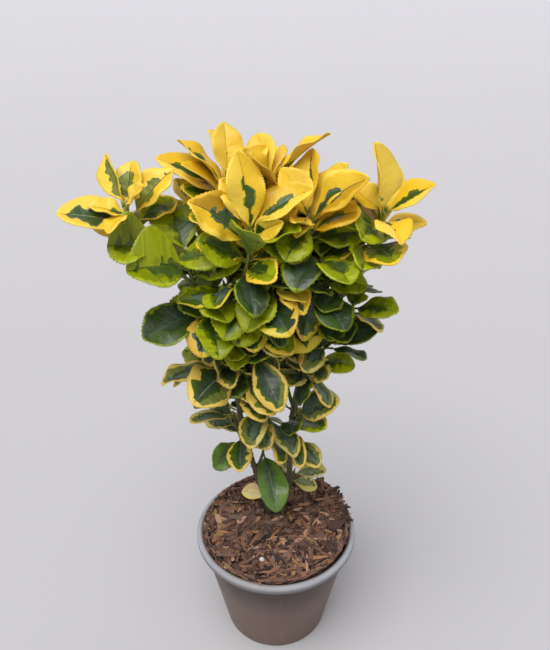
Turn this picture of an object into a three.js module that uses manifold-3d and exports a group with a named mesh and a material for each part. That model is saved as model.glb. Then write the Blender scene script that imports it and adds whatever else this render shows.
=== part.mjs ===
// Potted golden Japanese spindle: an evergreen shrub with two slim stems in a round nursery pot, 375 mm tall.
// Millimetres, +Z up, origin at the centre of the flat underside of the pot. The shrub's front faces -Y.
import * as THREE from 'three';
import { mergeVertices } from 'three/addons/utils/BufferGeometryUtils.js';
import Module from 'manifold-3d';

const wasm = await Module();
wasm.setup();

const GAP = 0.3;
const TINY = 1e-6;

// Pot: a thin tapered wall with a rolled rim and drain holes in the base
const POT = {
  height: 85,
  rimRadius: 60,
  rimDrop: 4.9,
  rimWidth: 4.4,
  skirt: 1.5,
  edgeRound: 1.1,
  wall: 1.5,
  shoulderRadius: 55.6,
  baseRadius: 39,
  baseEdge: 1.6,
  floor: 2,
  drainHoles: 6,
  drainRadius: 3.2,
  drainCircle: 27,
  sides: 28,
};

// Potting bark: its level round the stems, and how it heaps up towards the back right
const BARK = {
  level: 85.4,
  frontDrop: 2.6,
  heap: 4.2,
  heapHeading: 35,
  grain: 0.7,
  rings: 5,
  sides: 28,
  chips: 16,
  chipSeed: 7,
  chipFrom: 14,
  chipLean: 0.25,
  chipClear: 3,
  chipSunk: 0.2,
  chipLength: [8, 14],
  chipWidth: [3, 5.5],
  chipThick: [2, 3.4],
};
const GROUND = BARK.level + GAP;

// Limbs: the first point of a stem stands on the bark, and a bough starts a share of the way along its parent
const LIMBS = {
  stem_left: {
    path: [[-4.8, 14, GROUND], [-13, 12, 118], [-18, 10, 140], [-24, 5, 175], [-26, 0, 207], [-22, -5, 250]],
    radius: [2.2, 1.6],
    flare: 0.9,
  },
  stem_right: {
    path: [[4.8, 14.5, GROUND], [9.6, 13, 116], [10, 12, 146], [12, 10, 181], [18, 8, 212], [35, 3, 250]],
    radius: [2.3, 1.7],
    flare: 0.9,
  },
  bough_front: {
    from: ['stem_left', 1], path: [[-21, -8, 270], [-19, -13, 292]], radius: [1.6, 1.2],
  },
  bough_back_left: {
    from: ['bough_front', 0.15], path: [[-27, 6, 288], [-29, 13, 318]], radius: [1.4, 1.1],
  },
  bough_left: {
    from: ['stem_left', 0.95], path: [[-31, -13, 268], [-43, -13, 277], [-47, -12, 281]], radius: [1.5, 1.2],
  },
  bough_far_left: {
    from: ['bough_left', 0.72], path: [[-60, -14, 300], [-75, -12, 317]], radius: [1.3, 1.1],
  },
  bough_back_right: {
    from: ['stem_right', 0.75], path: [[8, 12, 250], [-1, 12, 292], [-4, 13, 320]], radius: [1.6, 1.1],
  },
  bough_centre_right: {
    from: ['stem_right', 0.9], path: [[24, 3, 262], [21, -3, 288], [20, -6, 310]], radius: [1.5, 1.1],
  },
  bough_right: {
    from: ['stem_right', 1], path: [[43, 1, 280], [47, 0, 293], [53, -2, 304]], radius: [1.7, 1.2],
  },
  bough_right_side: {
    from: ['stem_right', 0.95], path: [[37, 3, 253], [43, 2, 260]], radius: [1.2, 1.0],
  },
};
const LIMB = { sides: 8, boughSides: 5, stepLength: 14, flareHeight: 4 };

// Foliage: each mass is one leafy shoot. step is the distance between its leaf pairs, listed from the tip
// down. A leaf is [heading, rise, length, roll]: its compass turn from +X, its climb in degrees, its reach in
// mm and how far it rolls from facing the light. Its partner stands opposite unless it is given too. light is
// the compass turn that the faces turn to, more adds pairs by rule, sprigs adds short side shoots, and gold
// is how yellow the leaves are.
const MASSES = [
  { name: 'crown_front', from: ['bough_front', 1], tip: [-14, -16, 323],
    step: 3.8, gold: 1,
    pairs: [[[5, 34, 42, 20], [160, 58, 34]], [[132, 78, 50], [336, 32, 24, -30]],
      [[204, 41, 46, 20], [30, 38, 40]], [[335, 29, 38, 30], [140, 45, 36]],
      [[220, 33, 38, 20], [50, 20, 36]], [[303, 10, 32], [150, 0, 34]]] },
  { name: 'crown_back_left', from: ['bough_back_left', 1], tip: [-29, 18, 343],
    step: 3.6, gold: 1, more: 1,
    pairs: [[[99, 63, 38, -20], [118, 49, 38, -50]], [[175, 46, 42, -45], [20, 45, 36]],
      [[185, 31, 49, -20], [60, 30, 40]], [[198, 39, 40, -35], [110, 25, 38]],
      [[211, 35, 36, -10], [40, 15, 38]]] },
  { name: 'crown_back_right', from: ['bough_back_right', 1], tip: [-5, 14, 342],
    step: 3.8, gold: 1, more: 1,
    pairs: [[[104, 47, 38, 15], [76, 34, 34, 15]], [[2, 44, 51, 60], [190, 55, 32]],
      [[60, 35, 34], [240, 40, 34]], [[120, 25, 40], [5, 37, 37, 20]]] },
  { name: 'crown_right', from: ['bough_centre_right', 1], tip: [19, -7, 330],
    step: 4, gold: 0.95,
    pairs: [[[73, 41, 42, 45], [219, -20, 20, -15]], [[332, 41, 46], [150, 50, 36]],
      [[13, 61, 44, 35], [240, 15, 26]], [[350, 10, 34], [110, 30, 34]]] },
  { name: 'tuft_right', from: ['bough_right', 1], tip: [64, -5, 330],
    step: 4.2, gold: 0.9,
    pairs: [[[332, 36, 34, 10], [170, 35, 28]], [[73, 52, 40, -25], [277, -2, 38, 10]],
      [[122, 76, 50, -45], [215, 20, 30]], [[352, 21, 31, 15], [170, 20, 34]],
      [[283, 4, 40, -10], [120, 10, 34]]] },
  { name: 'tuft_far_left', from: ['bough_far_left', 1], tip: [-87, -10, 334],
    step: 3, gold: 1,
    pairs: [[[124, 49, 36, 45], [330, 45, 22]], [[90, 52, 34, 10], [251, -13, 22, -10]],
      [[21, 46, 38], [192, 22, 25, -30]], [[197, 14, 43, -10], [40, 20, 30]],
      [[86, 20, 26, 20], [170, 5, 30]]] },
  { name: 'spray_left', from: ['bough_left', 1], tip: [-53, -14, 308],
    step: 3.8, gold: 0.5,
    pairs: [[[115, 41, 40], [66, 8, 20, -30]], [[150, 12, 34], [30, 20, 30]],
      [[210, 9, 38, 0], [120, -5, 30]], [[333, 27, 32, 15], [150, -5, 28]],
      [[330, 22, 34, 20], [110, 5, 28]], [[0, 0, 32], [100, 5, 32]]] },
  { name: 'spray_left_mid', from: ['bough_left', 0.42], tip: [-45, -15, 271],
    step: 3.6, gold: 0.35,
    pairs: [[[218, -9, 42, -10], [110, 20, 32]], [[265, -30, 34, 15], [354, -15, 37, 30]],
      [[0, 0, 34], [90, 10, 30]]] },
  { name: 'spray_left_inner', from: ['bough_front', 0.3], tip: [-31, -14, 288],
    step: 4.5, gold: 0.3,
    pairs: [[[264, -1, 30, -25], [60, 20, 26]], [[218, 8, 34, -15], [20, 10, 28]]] },
  { name: 'spray_left_low', from: ['stem_left', 0.86], tip: [-40, -7, 231],
    step: 6, gold: 0.12,
    pairs: [[[208, -7, 38, -45], [80, 20, 30]], [[150, 10, 32], [268, 37, 34, 80]], [[247, 4, 46, 15]]] },
  { name: 'spray_centre_low', from: ['stem_left', 0.72], tip: [-15, -12, 242],
    step: 10, gold: 0.15,
    pairs: [[[302, -35, 42], [120, 30, 28]], [[30, 10, 26], [200, -10, 28]],
      [[299, -9, 36, 10], [150, 0, 30]], [[293, -1, 34, 35]]] },
  { name: 'spray_centre_mid', from: ['stem_left', 0.93], tip: [-8, -14, 280],
    step: 8, gold: 0.3,
    pairs: [[[296, -11, 38, -10], [120, 40, 26]], [[298, -17, 32, 35], [210, 0, 28]],
      [[319, -17, 32, 20], [110, 10, 28]], [[358, 7, 47]]] },
  { name: 'spray_centre_right', from: ['bough_centre_right', 0.3], tip: [27, -8, 302],
    step: 6, gold: 0.4,
    pairs: [[[86, 32, 30], [291, 1, 38, 20]], [[227, 13, 34], [30, 20, 30]],
      [[238, -60, 37, 45], [340, 5, 30]], [[130, 10, 30]]] },
  { name: 'spray_centre', from: ['bough_front', 0.45], tip: [3, -13, 293],
    step: 6, gold: 0.55,
    pairs: [[[326, 3, 30], [200, 5, 24]], [[306, 2, 30, 15], [60, 20, 28]], [[240, -15, 28]]] },
  { name: 'spray_right_top', from: ['bough_right', 0.3], tip: [38, -12, 284],
    step: 5, gold: 0.3,
    pairs: [[[290, 19, 30, -25], [23, -12, 30, 35]], [[240, -5, 28], [80, 20, 26]]] },
  { name: 'spray_right_mid', from: ['bough_right_side', 1], tip: [49, 1, 267],
    step: 3.2, gold: 0.45,
    pairs: [[[69, 7, 22], [317, 15, 34, 15]], [[312, -6, 28, 35], [140, 10, 22]]] },
  { name: 'spray_right', from: ['stem_right', 0.9], tip: [36, -1, 243],
    step: 5, gold: 0.15,
    pairs: [[[323, 33, 36, 10], [140, 20, 26]], [[323, 4, 30, 40], [235, -10, 28]]] },
  { name: 'spray_right_low', from: ['stem_right', 0.78], tip: [28, 2, 227],
    step: 5, gold: 0.2,
    pairs: [[[339, 6, 26], [140, 10, 24]], [[288, 13, 24, -25], [120, 5, 26]],
      [[303, -29, 28, 40], [248, -34, 24, -45]]] },
  { name: 'foot_left', from: ['stem_left', 0.45], tip: [-29, -4, 189],
    step: 9, gold: 0.12,
    pairs: [[[214, 15, 34, -50], [80, 20, 26]], [[150, 0, 28], [320, -10, 26]],
      [[272, -14, 30], [100, 10, 28]], [[236, 4, 34]]] },
  { name: 'foot_centre', from: ['stem_left', 0.62], tip: [-10, -1, 190],
    step: 7, gold: 0.15,
    pairs: [[[260, -10, 34, -10], [60, 15, 26]], [[300, -25, 30], [120, 0, 26]]] },
  { name: 'foot_front', from: ['stem_left', 0.3], tip: [-9, 9, 149],
    step: 6, gold: 0,
    pairs: [[[284, -26, 46, 15]]] },
  { name: 'foot_middle', from: ['stem_right', 0.5], tip: [-6, 6, 178],
    step: 6, gold: 0.2,
    pairs: [[[303, -16, 35, 20], [100, 20, 26]], [[278, -22, 32, 40], [180, 0, 22]]] },
  { name: 'foot_right', from: ['stem_right', 0.42], tip: [15, 5, 183],
    step: 6, gold: 0.2,
    pairs: [[[330, 37, 38], [258, 6, 28, -30]], [[312, 21, 30, 20], [140, 20, 26]],
      [[276, -18, 30, -45], [60, 10, 26]], [[307, -13, 30], [100, 0, 26]]] },
  { name: 'foot_back', from: ['stem_right', 0.12], tip: [14, 22, 118],
    step: 5, gold: 0.5,
    pairs: [[[351, 16, 26, 25], [120, 20, 24]], [[347, -9, 20], [150, 5, 22]]] },
  { name: 'back_left', from: ['bough_back_left', 0.45], tip: [-50, 30, 318],
    step: 5.5, gold: 0.8, light: 100, more: 5, sprigs: 1,
    pairs: [] },
  { name: 'back_centre', from: ['bough_back_right', 0.6], tip: [-14, 42, 324],
    step: 6, gold: 0.9, light: 90, more: 5,
    pairs: [] },
  { name: 'back_right', from: ['bough_right', 0.35], tip: [44, 34, 312],
    step: 5.5, gold: 0.8, light: 70, more: 5, sprigs: 1,
    pairs: [] },
  { name: 'back_mid_left', from: ['stem_left', 0.7], tip: [-42, 34, 262],
    step: 8, gold: 0.3, light: 110, more: 5,
    pairs: [] },
  { name: 'back_mid_centre', from: ['stem_right', 0.62], tip: [-4, 42, 258],
    step: 8, gold: 0.3, light: 90, more: 5,
    pairs: [] },
  { name: 'back_mid_right', from: ['stem_right', 0.76], tip: [36, 38, 270],
    step: 7.5, gold: 0.4, light: 60, more: 5,
    pairs: [] },
  { name: 'back_low_left', from: ['stem_left', 0.4], tip: [-30, 34, 190],
    step: 8, gold: 0.15, light: 110, more: 3,
    pairs: [] },
  { name: 'back_low_right', from: ['stem_right', 0.4], tip: [18, 36, 200],
    step: 8, gold: 0.15, light: 80, more: 4,
    pairs: [] },
];

// The rule the shoots grow by
const SHOOT = {
  radius: [1.5, 1.1],
  startReach: 0.65,
  startClimb: 0.35,
  tipLeaf: 2,
  stepGrowth: 1.12,
  turn: 90,
  turnSway: 14,
  riseTip: 55,
  riseFoot: -5,
  lengthTip: 32,
  lengthFoot: 44,
  lengthSway: 4,
  partnerLength: 0.9,
  sprigLength: 16,
  sprigRise: 40,
  sprigLeaf: 24,
  sprigAge: 0.4,
  light: 270,
  tries: 9,
  trySway: 9,
  tryNod: 6.3,
  axisSeed: 1000,
  sprigAxisSeed: 5000,
  leafSeed: 100000,
  seedStep: 1000,
  sprigSeed: 500,
};

// A leaf: half-width as a share of its length, where its stalk ends, the shares of its length that set its
// outline, how far it may cut into its neighbours, and how it folds, arches, tilts and turns to the light
const LEAF = {
  width: 0.27,
  stalk: 0.13,
  bladeFrom: 0.19,
  stalkRadius: 0.5,
  thick: 0.9,
  rows: [0, 0.2, 0.5, 0.8, 1],
  goldFolds: 0.7,
  greenFold: 0.3,
  mayCross: 12,
  mayCrossHidden: 1,
  foldYoung: 26,
  foldOld: 10,
  arch: [10, 40],
  tilt: 10,
  lightRise: 35,
  lightShare: 0.8,
  lightMost: 75,
};

const COLOURS = {
  pot: 0x6f6e70,
  bark: 0x4a3226,
  stem: 0x5a5a3c,
  bough: 0x5f6b34,
  leafGreen: 0x33471c,
  leafGold: 0xe0b52c,
};

const radians = THREE.MathUtils.degToRad;
const lerp = THREE.MathUtils.lerp;

// A repeatable stream of numbers from 0 to 1 for one seed
function draws(seed) {
  let state = seed >>> 0;
  return () => {
    state = (state + 0x6d2b79f5) >>> 0;
    let mixed = Math.imul(state ^ (state >>> 15), 1 | state);
    mixed = (mixed + Math.imul(mixed ^ (mixed >>> 7), 61 | mixed)) ^ mixed;
    return ((mixed ^ (mixed >>> 14)) >>> 0) / 4294967296;
  };
}

function toSolid(geometry) {
  geometry.deleteAttribute('normal');
  geometry.deleteAttribute('uv');
  const welded = mergeVertices(geometry, 1e-4);
  return new wasm.Manifold(new wasm.Mesh({
    numProp: 3,
    vertProperties: new Float32Array(welded.attributes.position.array),
    triVerts: new Uint32Array(welded.index.array),
  }));
}

// The largest body of a cut solid, without the scraps that the cut left
function largest(solid) {
  return solid.decompose().reduce((most, body) => (body.volume() > most.volume() ? body : most));
}

function toGeometry(solid) {
  const mesh = solid.getMesh();
  const geometry = new THREE.BufferGeometry();
  geometry.setAttribute('position', new THREE.BufferAttribute(new Float32Array(mesh.vertProperties), 3));
  geometry.setIndex(new THREE.BufferAttribute(new Uint32Array(mesh.triVerts), 1));
  geometry.computeVertexNormals();
  return geometry;
}

function namedMesh(name, geometry, colour, roughness) {
  const material = new THREE.MeshStandardMaterial({ color: colour, roughness, metalness: 0 });
  const mesh = new THREE.Mesh(geometry, material);
  mesh.name = name;
  return mesh;
}

// Radius inside the pot's wall at a height
function insideRadius(z) {
  const share = (z - POT.floor) / (POT.height - POT.rimDrop - POT.floor);
  return lerp(POT.baseRadius, POT.shoulderRadius, Math.min(share, 1)) - POT.wall;
}

function potSolid() {
  const top = POT.height;
  const under = top - POT.skirt;
  const lip = top - POT.rimDrop;
  const outer = POT.rimRadius;
  const inner = outer - POT.rimWidth;
  const round = POT.edgeRound;
  const profile = [
    [0, 0], [POT.baseRadius - POT.baseEdge, 0], [POT.baseRadius, POT.baseEdge],
    [POT.shoulderRadius, lip], [POT.shoulderRadius, under], [outer - POT.skirt, under],
    [outer - POT.skirt, lip], [outer - round / 2, lip], [outer, lip + round],
    [outer, top - round], [outer - round, top], [inner + round, top], [inner - round / 2, top - round],
    [insideRadius(lip), lip], [insideRadius(POT.floor), POT.floor], [0, POT.floor],
  ];
  const lathe = new THREE.LatheGeometry(profile.map(([r, z]) => new THREE.Vector2(r, z)), POT.sides);
  lathe.rotateX(Math.PI / 2);
  let pot = toSolid(lathe);
  for (let i = 0; i < POT.drainHoles; i += 1) {
    const turn = (2 * Math.PI * (i + 0.5)) / POT.drainHoles;
    const hole = new THREE.CylinderGeometry(POT.drainRadius, POT.drainRadius, 3 * POT.floor, 8);
    hole.rotateX(Math.PI / 2);
    hole.translate(POT.drainCircle * Math.cos(turn), POT.drainCircle * Math.sin(turn), POT.floor / 2);
    pot = pot.subtract(toSolid(hole));
  }
  return pot;
}

// Height of the bark's surface: level round the stems, lower at the front rim and heaped at the back right
function barkHeight(x, y) {
  const out = Math.min(Math.hypot(x, y) / insideRadius(POT.height), 1);
  const towardsHeap = Math.cos(Math.atan2(y, x) - radians(BARK.heapHeading));
  const edge = lerp(-BARK.frontDrop, BARK.heap, (towardsHeap + 1) / 2);
  const grain = BARK.grain * Math.sin(0.45 * x + 1.3) * Math.sin(0.5 * y - 0.4);
  return BARK.level + (edge + grain) * out ** 3;
}

function barkSolid() {
  const top = BARK.level;
  const rim = insideRadius(top) - GAP;
  const foot = insideRadius(POT.floor) - GAP;
  const profile = [[0, POT.floor + GAP], [foot, POT.floor + GAP], [rim, top - POT.rimDrop - GAP]];
  for (let i = BARK.rings; i >= 0; i -= 1) {
    profile.push([(rim * i) / BARK.rings, top]);
  }
  const lathe = new THREE.LatheGeometry(profile.map(([r, z]) => new THREE.Vector2(r, z)), BARK.sides);
  lathe.rotateX(Math.PI / 2);
  const position = lathe.attributes.position;
  for (let i = 0; i < position.count; i += 1) {
    if (position.getZ(i) > top - GAP) {
      position.setZ(i, barkHeight(position.getX(i), position.getY(i)));
    }
  }
  let bark = toSolid(lathe);
  const draw = draws(BARK.chipSeed);
  const between = ([low, high]) => lerp(low, high, draw());
  for (let i = 0; i < BARK.chips; i += 1) {
    const length = between(BARK.chipLength);
    const box = new THREE.BoxGeometry(length, between(BARK.chipWidth), between(BARK.chipThick));
    const reach = lerp(BARK.chipFrom, rim - 1 - length / 2, Math.sqrt(draw()));
    const turn = 2 * Math.PI * draw();
    const x = reach * Math.cos(turn);
    const y = reach * Math.sin(turn);
    box.rotateY(lerp(-BARK.chipLean, BARK.chipLean, draw()));
    box.rotateZ(Math.PI * draw());
    box.translate(x, y, barkHeight(x, y) + BARK.chipSunk);
    const clear = ['stem_left', 'stem_right'].every((stem) => {
      const [footX, footY] = LIMBS[stem].path[0];
      const foot = LIMBS[stem].radius[0] + LIMBS[stem].flare;
      return Math.hypot(x - footX, y - footY) > length / 2 + foot + BARK.chipClear;
    });
    if (clear) {
      bark = bark.add(toSolid(box));
    }
  }
  return bark;
}

const vector = ([x, y, z]) => new THREE.Vector3(x, y, z);
const curves = {};

// Points of a limb or shoot run smoothly through its path
function limbCurve(name) {
  if (!curves[name]) {
    const { from, path } = LIMBS[name];
    const points = path.map(vector);
    if (from) {
      points.unshift(limbCurve(from[0]).getPoint(from[1]));
    }
    curves[name] = new THREE.CatmullRomCurve3(points, false, 'catmullrom', 0.5);
  }
  return curves[name];
}

// A tapering round limb: a cylinder bent along a curve
function bentCylinder(curve, radiusAt, sides, steps) {
  const geometry = new THREE.CylinderGeometry(1, 1, 1, sides, steps);
  const frames = curve.computeFrenetFrames(steps, false);
  const position = geometry.attributes.position;
  for (let i = 0; i < position.count; i += 1) {
    const share = position.getY(i) + 0.5;
    const step = Math.round(share * steps);
    const radius = radiusAt(share);
    const point = curve.getPoint(step / steps);
    point.addScaledVector(frames.binormals[step], position.getX(i) * radius);
    point.addScaledVector(frames.normals[step], position.getZ(i) * radius);
    position.setXYZ(i, point.x, point.y, point.z);
  }
  return geometry;
}

function limbSolid(name, extra) {
  const { radius, flare = 0, from } = LIMBS[name];
  const curve = limbCurve(name);
  const length = curve.getLength();
  const steps = Math.ceil(length / LIMB.stepLength);
  const radiusAt = (share) => lerp(radius[0], radius[1], share) + extra
    + flare * Math.exp((-share * length) / LIMB.flareHeight);
  const geometry = bentCylinder(curve, radiusAt, from ? LIMB.boughSides : LIMB.sides, steps);
  // A stem's foot is cut flat and level, and the clearance round a limb reaches past its tip
  const position = geometry.attributes.position;
  const tip = curve.getPoint(1);
  const along = curve.getTangent(1);
  for (let i = 0; i < position.count; i += 1) {
    const point = new THREE.Vector3().fromBufferAttribute(position, i);
    if (point.distanceTo(tip) < radius[1] + extra + 0.1) {
      point.addScaledVector(along, extra);
    }
    if (!from && Math.abs(point.z - GROUND) < radius[0] + flare) {
      point.z = GROUND;
    }
    position.setXYZ(i, point.x, point.y, point.z);
  }
  return toSolid(geometry);
}

// Everything already standing, for telling where a new leaf or twig would touch
const standing = [];

function boxesMeet(a, b) {
  return [0, 1, 2].every((axis) => a.min[axis] < b.max[axis] && b.min[axis] < a.max[axis]);
}

// Whether a solid touches one of another owner
function touches(solid, owner) {
  const box = solid.boundingBox();
  return standing.some((other) => owner !== other.owner && boxesMeet(box, other.box)
    && solid.intersect(other.whole).volume() > TINY);
}

// Whether a blade cuts into other leaves of its own shoot
function crosses(blade, owner, most) {
  const box = blade.boundingBox();
  return standing.some((other) => owner === other.owner && other.blade && boxesMeet(box, other.box)
    && blade.intersect(other.blade).volume() > most);
}

function stand(owner, whole, blade) {
  standing.push({ owner, whole, blade, box: whole.boundingBox() });
}

// Half-width of a leaf at a share of the way from its stalk to its tip
function leafWidth(share) {
  return Math.sin(Math.PI * share ** 1.15) ** 0.8;
}

// How far a leaf rolls about its own length to turn its face towards the light
function rollToLight(ahead, side, up, lightHeading) {
  const rise = radians(LEAF.lightRise);
  const light = new THREE.Vector3(
    Math.cos(rise) * Math.cos(lightHeading),
    Math.cos(rise) * Math.sin(lightHeading),
    Math.sin(rise),
  );
  const roll = Math.atan2(-light.dot(side), light.dot(up));
  const strength = Math.hypot(light.dot(side), light.dot(up));
  const most = radians(LEAF.lightMost);
  return Math.min(Math.max(roll * LEAF.lightShare * strength, -most), most);
}

// A leaf: a four-sided cylinder flattened to a blade that folds along its midrib and arches over its length
function leafGeometry(leaf, extra, bladeOnly) {
  const { root, heading, rise, length, fold, arch, tilt } = leaf;
  const turn = radians(heading);
  const climb = radians(rise);
  const side = new THREE.Vector3(Math.sin(turn), -Math.cos(turn), 0);
  const out = Math.cos(climb);
  const ahead = new THREE.Vector3(out * Math.cos(turn), out * Math.sin(turn), Math.sin(climb));
  const up = new THREE.Vector3().crossVectors(side, ahead);
  const roll = radians(tilt) + rollToLight(ahead, side, up, radians(leaf.light));
  const across = side.clone().multiplyScalar(Math.cos(roll)).addScaledVector(up, Math.sin(roll));
  const face = new THREE.Vector3().crossVectors(across, ahead);
  const steps = LEAF.rows.length - 1;
  const geometry = new THREE.CylinderGeometry(0, 1, 1, 4, steps);
  const position = geometry.attributes.position;
  const first = bladeOnly ? LEAF.bladeFrom : 0;
  for (let i = 0; i < position.count; i += 1) {
    const row = Math.round((position.getY(i) + 0.5) * steps);
    const size = Math.max(Math.hypot(position.getX(i), position.getZ(i)), 1e-9);
    const share = first + (1 - first) * LEAF.rows[row];
    const blade = Math.max(0, (share - LEAF.stalk) / (1 - LEAF.stalk));
    const stalk = share < 1 ? LEAF.stalkRadius : 0;
    const width = Math.max(leafWidth(Math.min(blade, 1)) * LEAF.width * length, stalk) + extra;
    const sideways = row < steps ? (position.getX(i) / size) * width : 0;
    const thick = row < steps ? (position.getZ(i) / size) * (LEAF.thick / 2 + extra) : 0;
    const lift = Math.abs(sideways) * Math.tan(radians(fold));
    const hump = length * Math.tan(radians(arch / 4)) * 2 * share * (1 - share);
    const point = root.clone();
    point.addScaledVector(ahead, share * (length + extra));
    point.addScaledVector(up, hump);
    point.addScaledVector(across, sideways);
    point.addScaledVector(face, thick + lift);
    position.setXYZ(i, point.x, point.y, point.z);
  }
  return geometry;
}

// A leaf's own fold, arch and tilt, and a little more turn at each new try
function leafAt(leaf, light, attempt, young) {
  const { root, turn, climb, reach, roll = 0, seed } = leaf;
  const draw = draws(seed);
  const fold = lerp(LEAF.foldOld, LEAF.foldYoung, young) * lerp(0.7, 1.3, draw());
  const arch = lerp(LEAF.arch[0], LEAF.arch[1], draw());
  const tilt = lerp(-LEAF.tilt, LEAF.tilt, draw());
  let sway = 0;
  let nod = 0;
  for (let i = 0; i < attempt; i += 1) {
    sway = lerp(-SHOOT.trySway, SHOOT.trySway, draw()) * (i + 1);
    nod = lerp(-SHOOT.tryNod, SHOOT.tryNod, draw()) * (i + 1);
  }
  const heading = turn + sway;
  const rise = climb + nod;
  return { root, heading, rise, length: reach, fold, arch, tilt: tilt + roll, light };
}

// The shoot's axis: out from its limb, then up to its tip
function shootCurve(start, tip) {
  const bend = new THREE.Vector3(
    lerp(start.x, tip.x, SHOOT.startReach),
    lerp(start.y, tip.y, SHOOT.startReach),
    lerp(start.z, tip.z, SHOOT.startClimb),
  );
  return new THREE.QuadraticBezierCurve3(start, bend, tip);
}

function twigSolid(curve) {
  const steps = Math.max(2, Math.ceil(curve.getLength() / 10));
  const radiusAt = (share) => lerp(SHOOT.radius[0], SHOOT.radius[1], share);
  return toSolid(bentCylinder(curve, radiusAt, 3, steps));
}

// The leaves a shoot asks for, pair by pair from its tip down
function leavesOf(mass, index, curve) {
  const draw = draws(SHOOT.axisSeed + index);
  const asked = [];
  const span = curve.getLength();
  let distance = SHOOT.tipLeaf;
  let step = mass.step;
  let heading = 360 * draw();
  const count = mass.pairs.length + (mass.more ?? 0);
  for (let pair = 0; pair < count && distance < span - 2; pair += 1) {
    const listed = mass.pairs[pair] ?? [];
    const down = pair / Math.max(count - 1, 1);
    heading += SHOOT.turn + lerp(-SHOOT.turnSway, SHOOT.turnSway, draw());
    const rise = lerp(SHOOT.riseTip, SHOOT.riseFoot, down) + lerp(-8, 8, draw());
    const length = lerp(SHOOT.lengthTip, SHOOT.lengthFoot, Math.min(1, 2 * down))
      + lerp(-SHOOT.lengthSway, SHOOT.lengthSway, draw());
    const first = listed[0] ?? [heading, rise, length];
    heading = first[0];
    const opposite = () => heading + 180 + lerp(-SHOOT.turnSway, SHOOT.turnSway, draw());
    const second = listed[1] ?? [opposite(), rise, length * SHOOT.partnerLength];
    const root = curve.getPoint(1 - distance / span);
    [first, second].forEach(([turn, climb, reach, roll], side) => {
      const seed = SHOOT.leafSeed + index * SHOOT.seedStep + pair * 10 + side;
      asked.push({ root, turn, climb, reach, roll, down, seed, shown: listed[side] });
    });
    distance += step;
    step *= SHOOT.stepGrowth;
  }
  return asked;
}

// Short side shoots in the angles of the lower leaves, each with two pairs of small leaves
function sprigsOf(mass, index, curve) {
  const draw = draws(SHOOT.sprigAxisSeed + index);
  const sprigs = [];
  for (let i = 0; i < (mass.sprigs ?? 0); i += 1) {
    const start = curve.getPoint(lerp(0.45, 0.7, draw()));
    const turn = 360 * draw();
    const out = SHOOT.sprigLength * Math.cos(radians(SHOOT.sprigRise));
    const tip = start.clone().add(new THREE.Vector3(
      out * Math.cos(radians(turn)),
      out * Math.sin(radians(turn)),
      SHOOT.sprigLength * Math.sin(radians(SHOOT.sprigRise)),
    ));
    const axis = shootCurve(start, tip);
    const leaves = [];
    for (let k = 0; k < 4; k += 1) {
      const root = axis.getPoint(k < 2 ? 0.9 : 0.55);
      const heading = turn + 90 * (k < 2 ? 1 : 2) + 180 * (k % 2);
      const climb = lerp(10, 50, draw());
      const reach = SHOOT.sprigLeaf * lerp(0.8, 1.2, draw());
      const seed = SHOOT.leafSeed + index * SHOOT.seedStep + SHOOT.sprigSeed + i * 10 + k;
      leaves.push({ root, turn: heading, climb, reach, down: SHOOT.sprigAge, seed });
    }
    sprigs.push({ axis, leaves });
  }
  return sprigs;
}

const limbNames = Object.keys(LIMBS);
const pot = potSolid();
const bark = barkSolid();
stand('pot', pot);
stand('bark', bark);

// Each limb is cut clear of the limbs before it
const limbs = {};
const clearances = {};
for (const name of limbNames) {
  let limb = limbSolid(name, 0);
  for (const before of Object.keys(limbs)) {
    limb = limb.subtract(clearances[before]);
  }
  limbs[name] = largest(limb);
  clearances[name] = limbSolid(name, GAP);
  stand(name, limbs[name]);
}

// A mass's bare shoot with its side shoots, cut clear of every limb, and the leaves that it asks for
function bareShoot(mass, index) {
  const start = limbCurve(mass.from[0]).getPoint(mass.from[1]);
  const curve = shootCurve(start, vector(mass.tip));
  const sprigs = sprigsOf(mass, index, curve);
  let solid = twigSolid(curve);
  for (const sprig of sprigs) {
    solid = solid.add(twigSolid(sprig.axis));
  }
  for (const name of limbNames) {
    solid = solid.subtract(clearances[name]);
  }
  solid = largest(solid);
  stand(mass.name, solid);
  const asked = leavesOf(mass, index, curve).concat(sprigs.flatMap((sprig) => sprig.leaves));
  return { mass, solid, asked };
}

// A leaf grows where it keeps clear of all else, with a few tries at another turn, or not at all
function growLeaf(shoot, leaf) {
  const { mass } = shoot;
  const young = (1 - leaf.down) * (mass.gold > LEAF.goldFolds ? 1 : LEAF.greenFold);
  const most = leaf.shown ? LEAF.mayCross : LEAF.mayCrossHidden;
  for (let attempt = 0; attempt < SHOOT.tries; attempt += 1) {
    const shape = leafAt(leaf, mass.light ?? SHOOT.light, attempt, young);
    const blade = toSolid(leafGeometry(shape, 0, true));
    if (touches(toSolid(leafGeometry(shape, GAP, false)), mass.name) || crosses(blade, mass.name, most)) {
      continue;
    }
    const whole = toSolid(leafGeometry(shape, 0, false));
    shoot.solid = shoot.solid.add(whole);
    stand(mass.name, whole, blade);
    return;
  }
}

// Shoots first, so that every leaf keeps clear of them, then the leaves seen from the front, then the rest
const shoots = MASSES.map(bareShoot);
for (const shown of [true, false]) {
  for (const shoot of shoots) {
    for (const leaf of shoot.asked.filter((one) => Boolean(one.shown) === shown)) {
      growLeaf(shoot, leaf);
    }
  }
}

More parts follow.
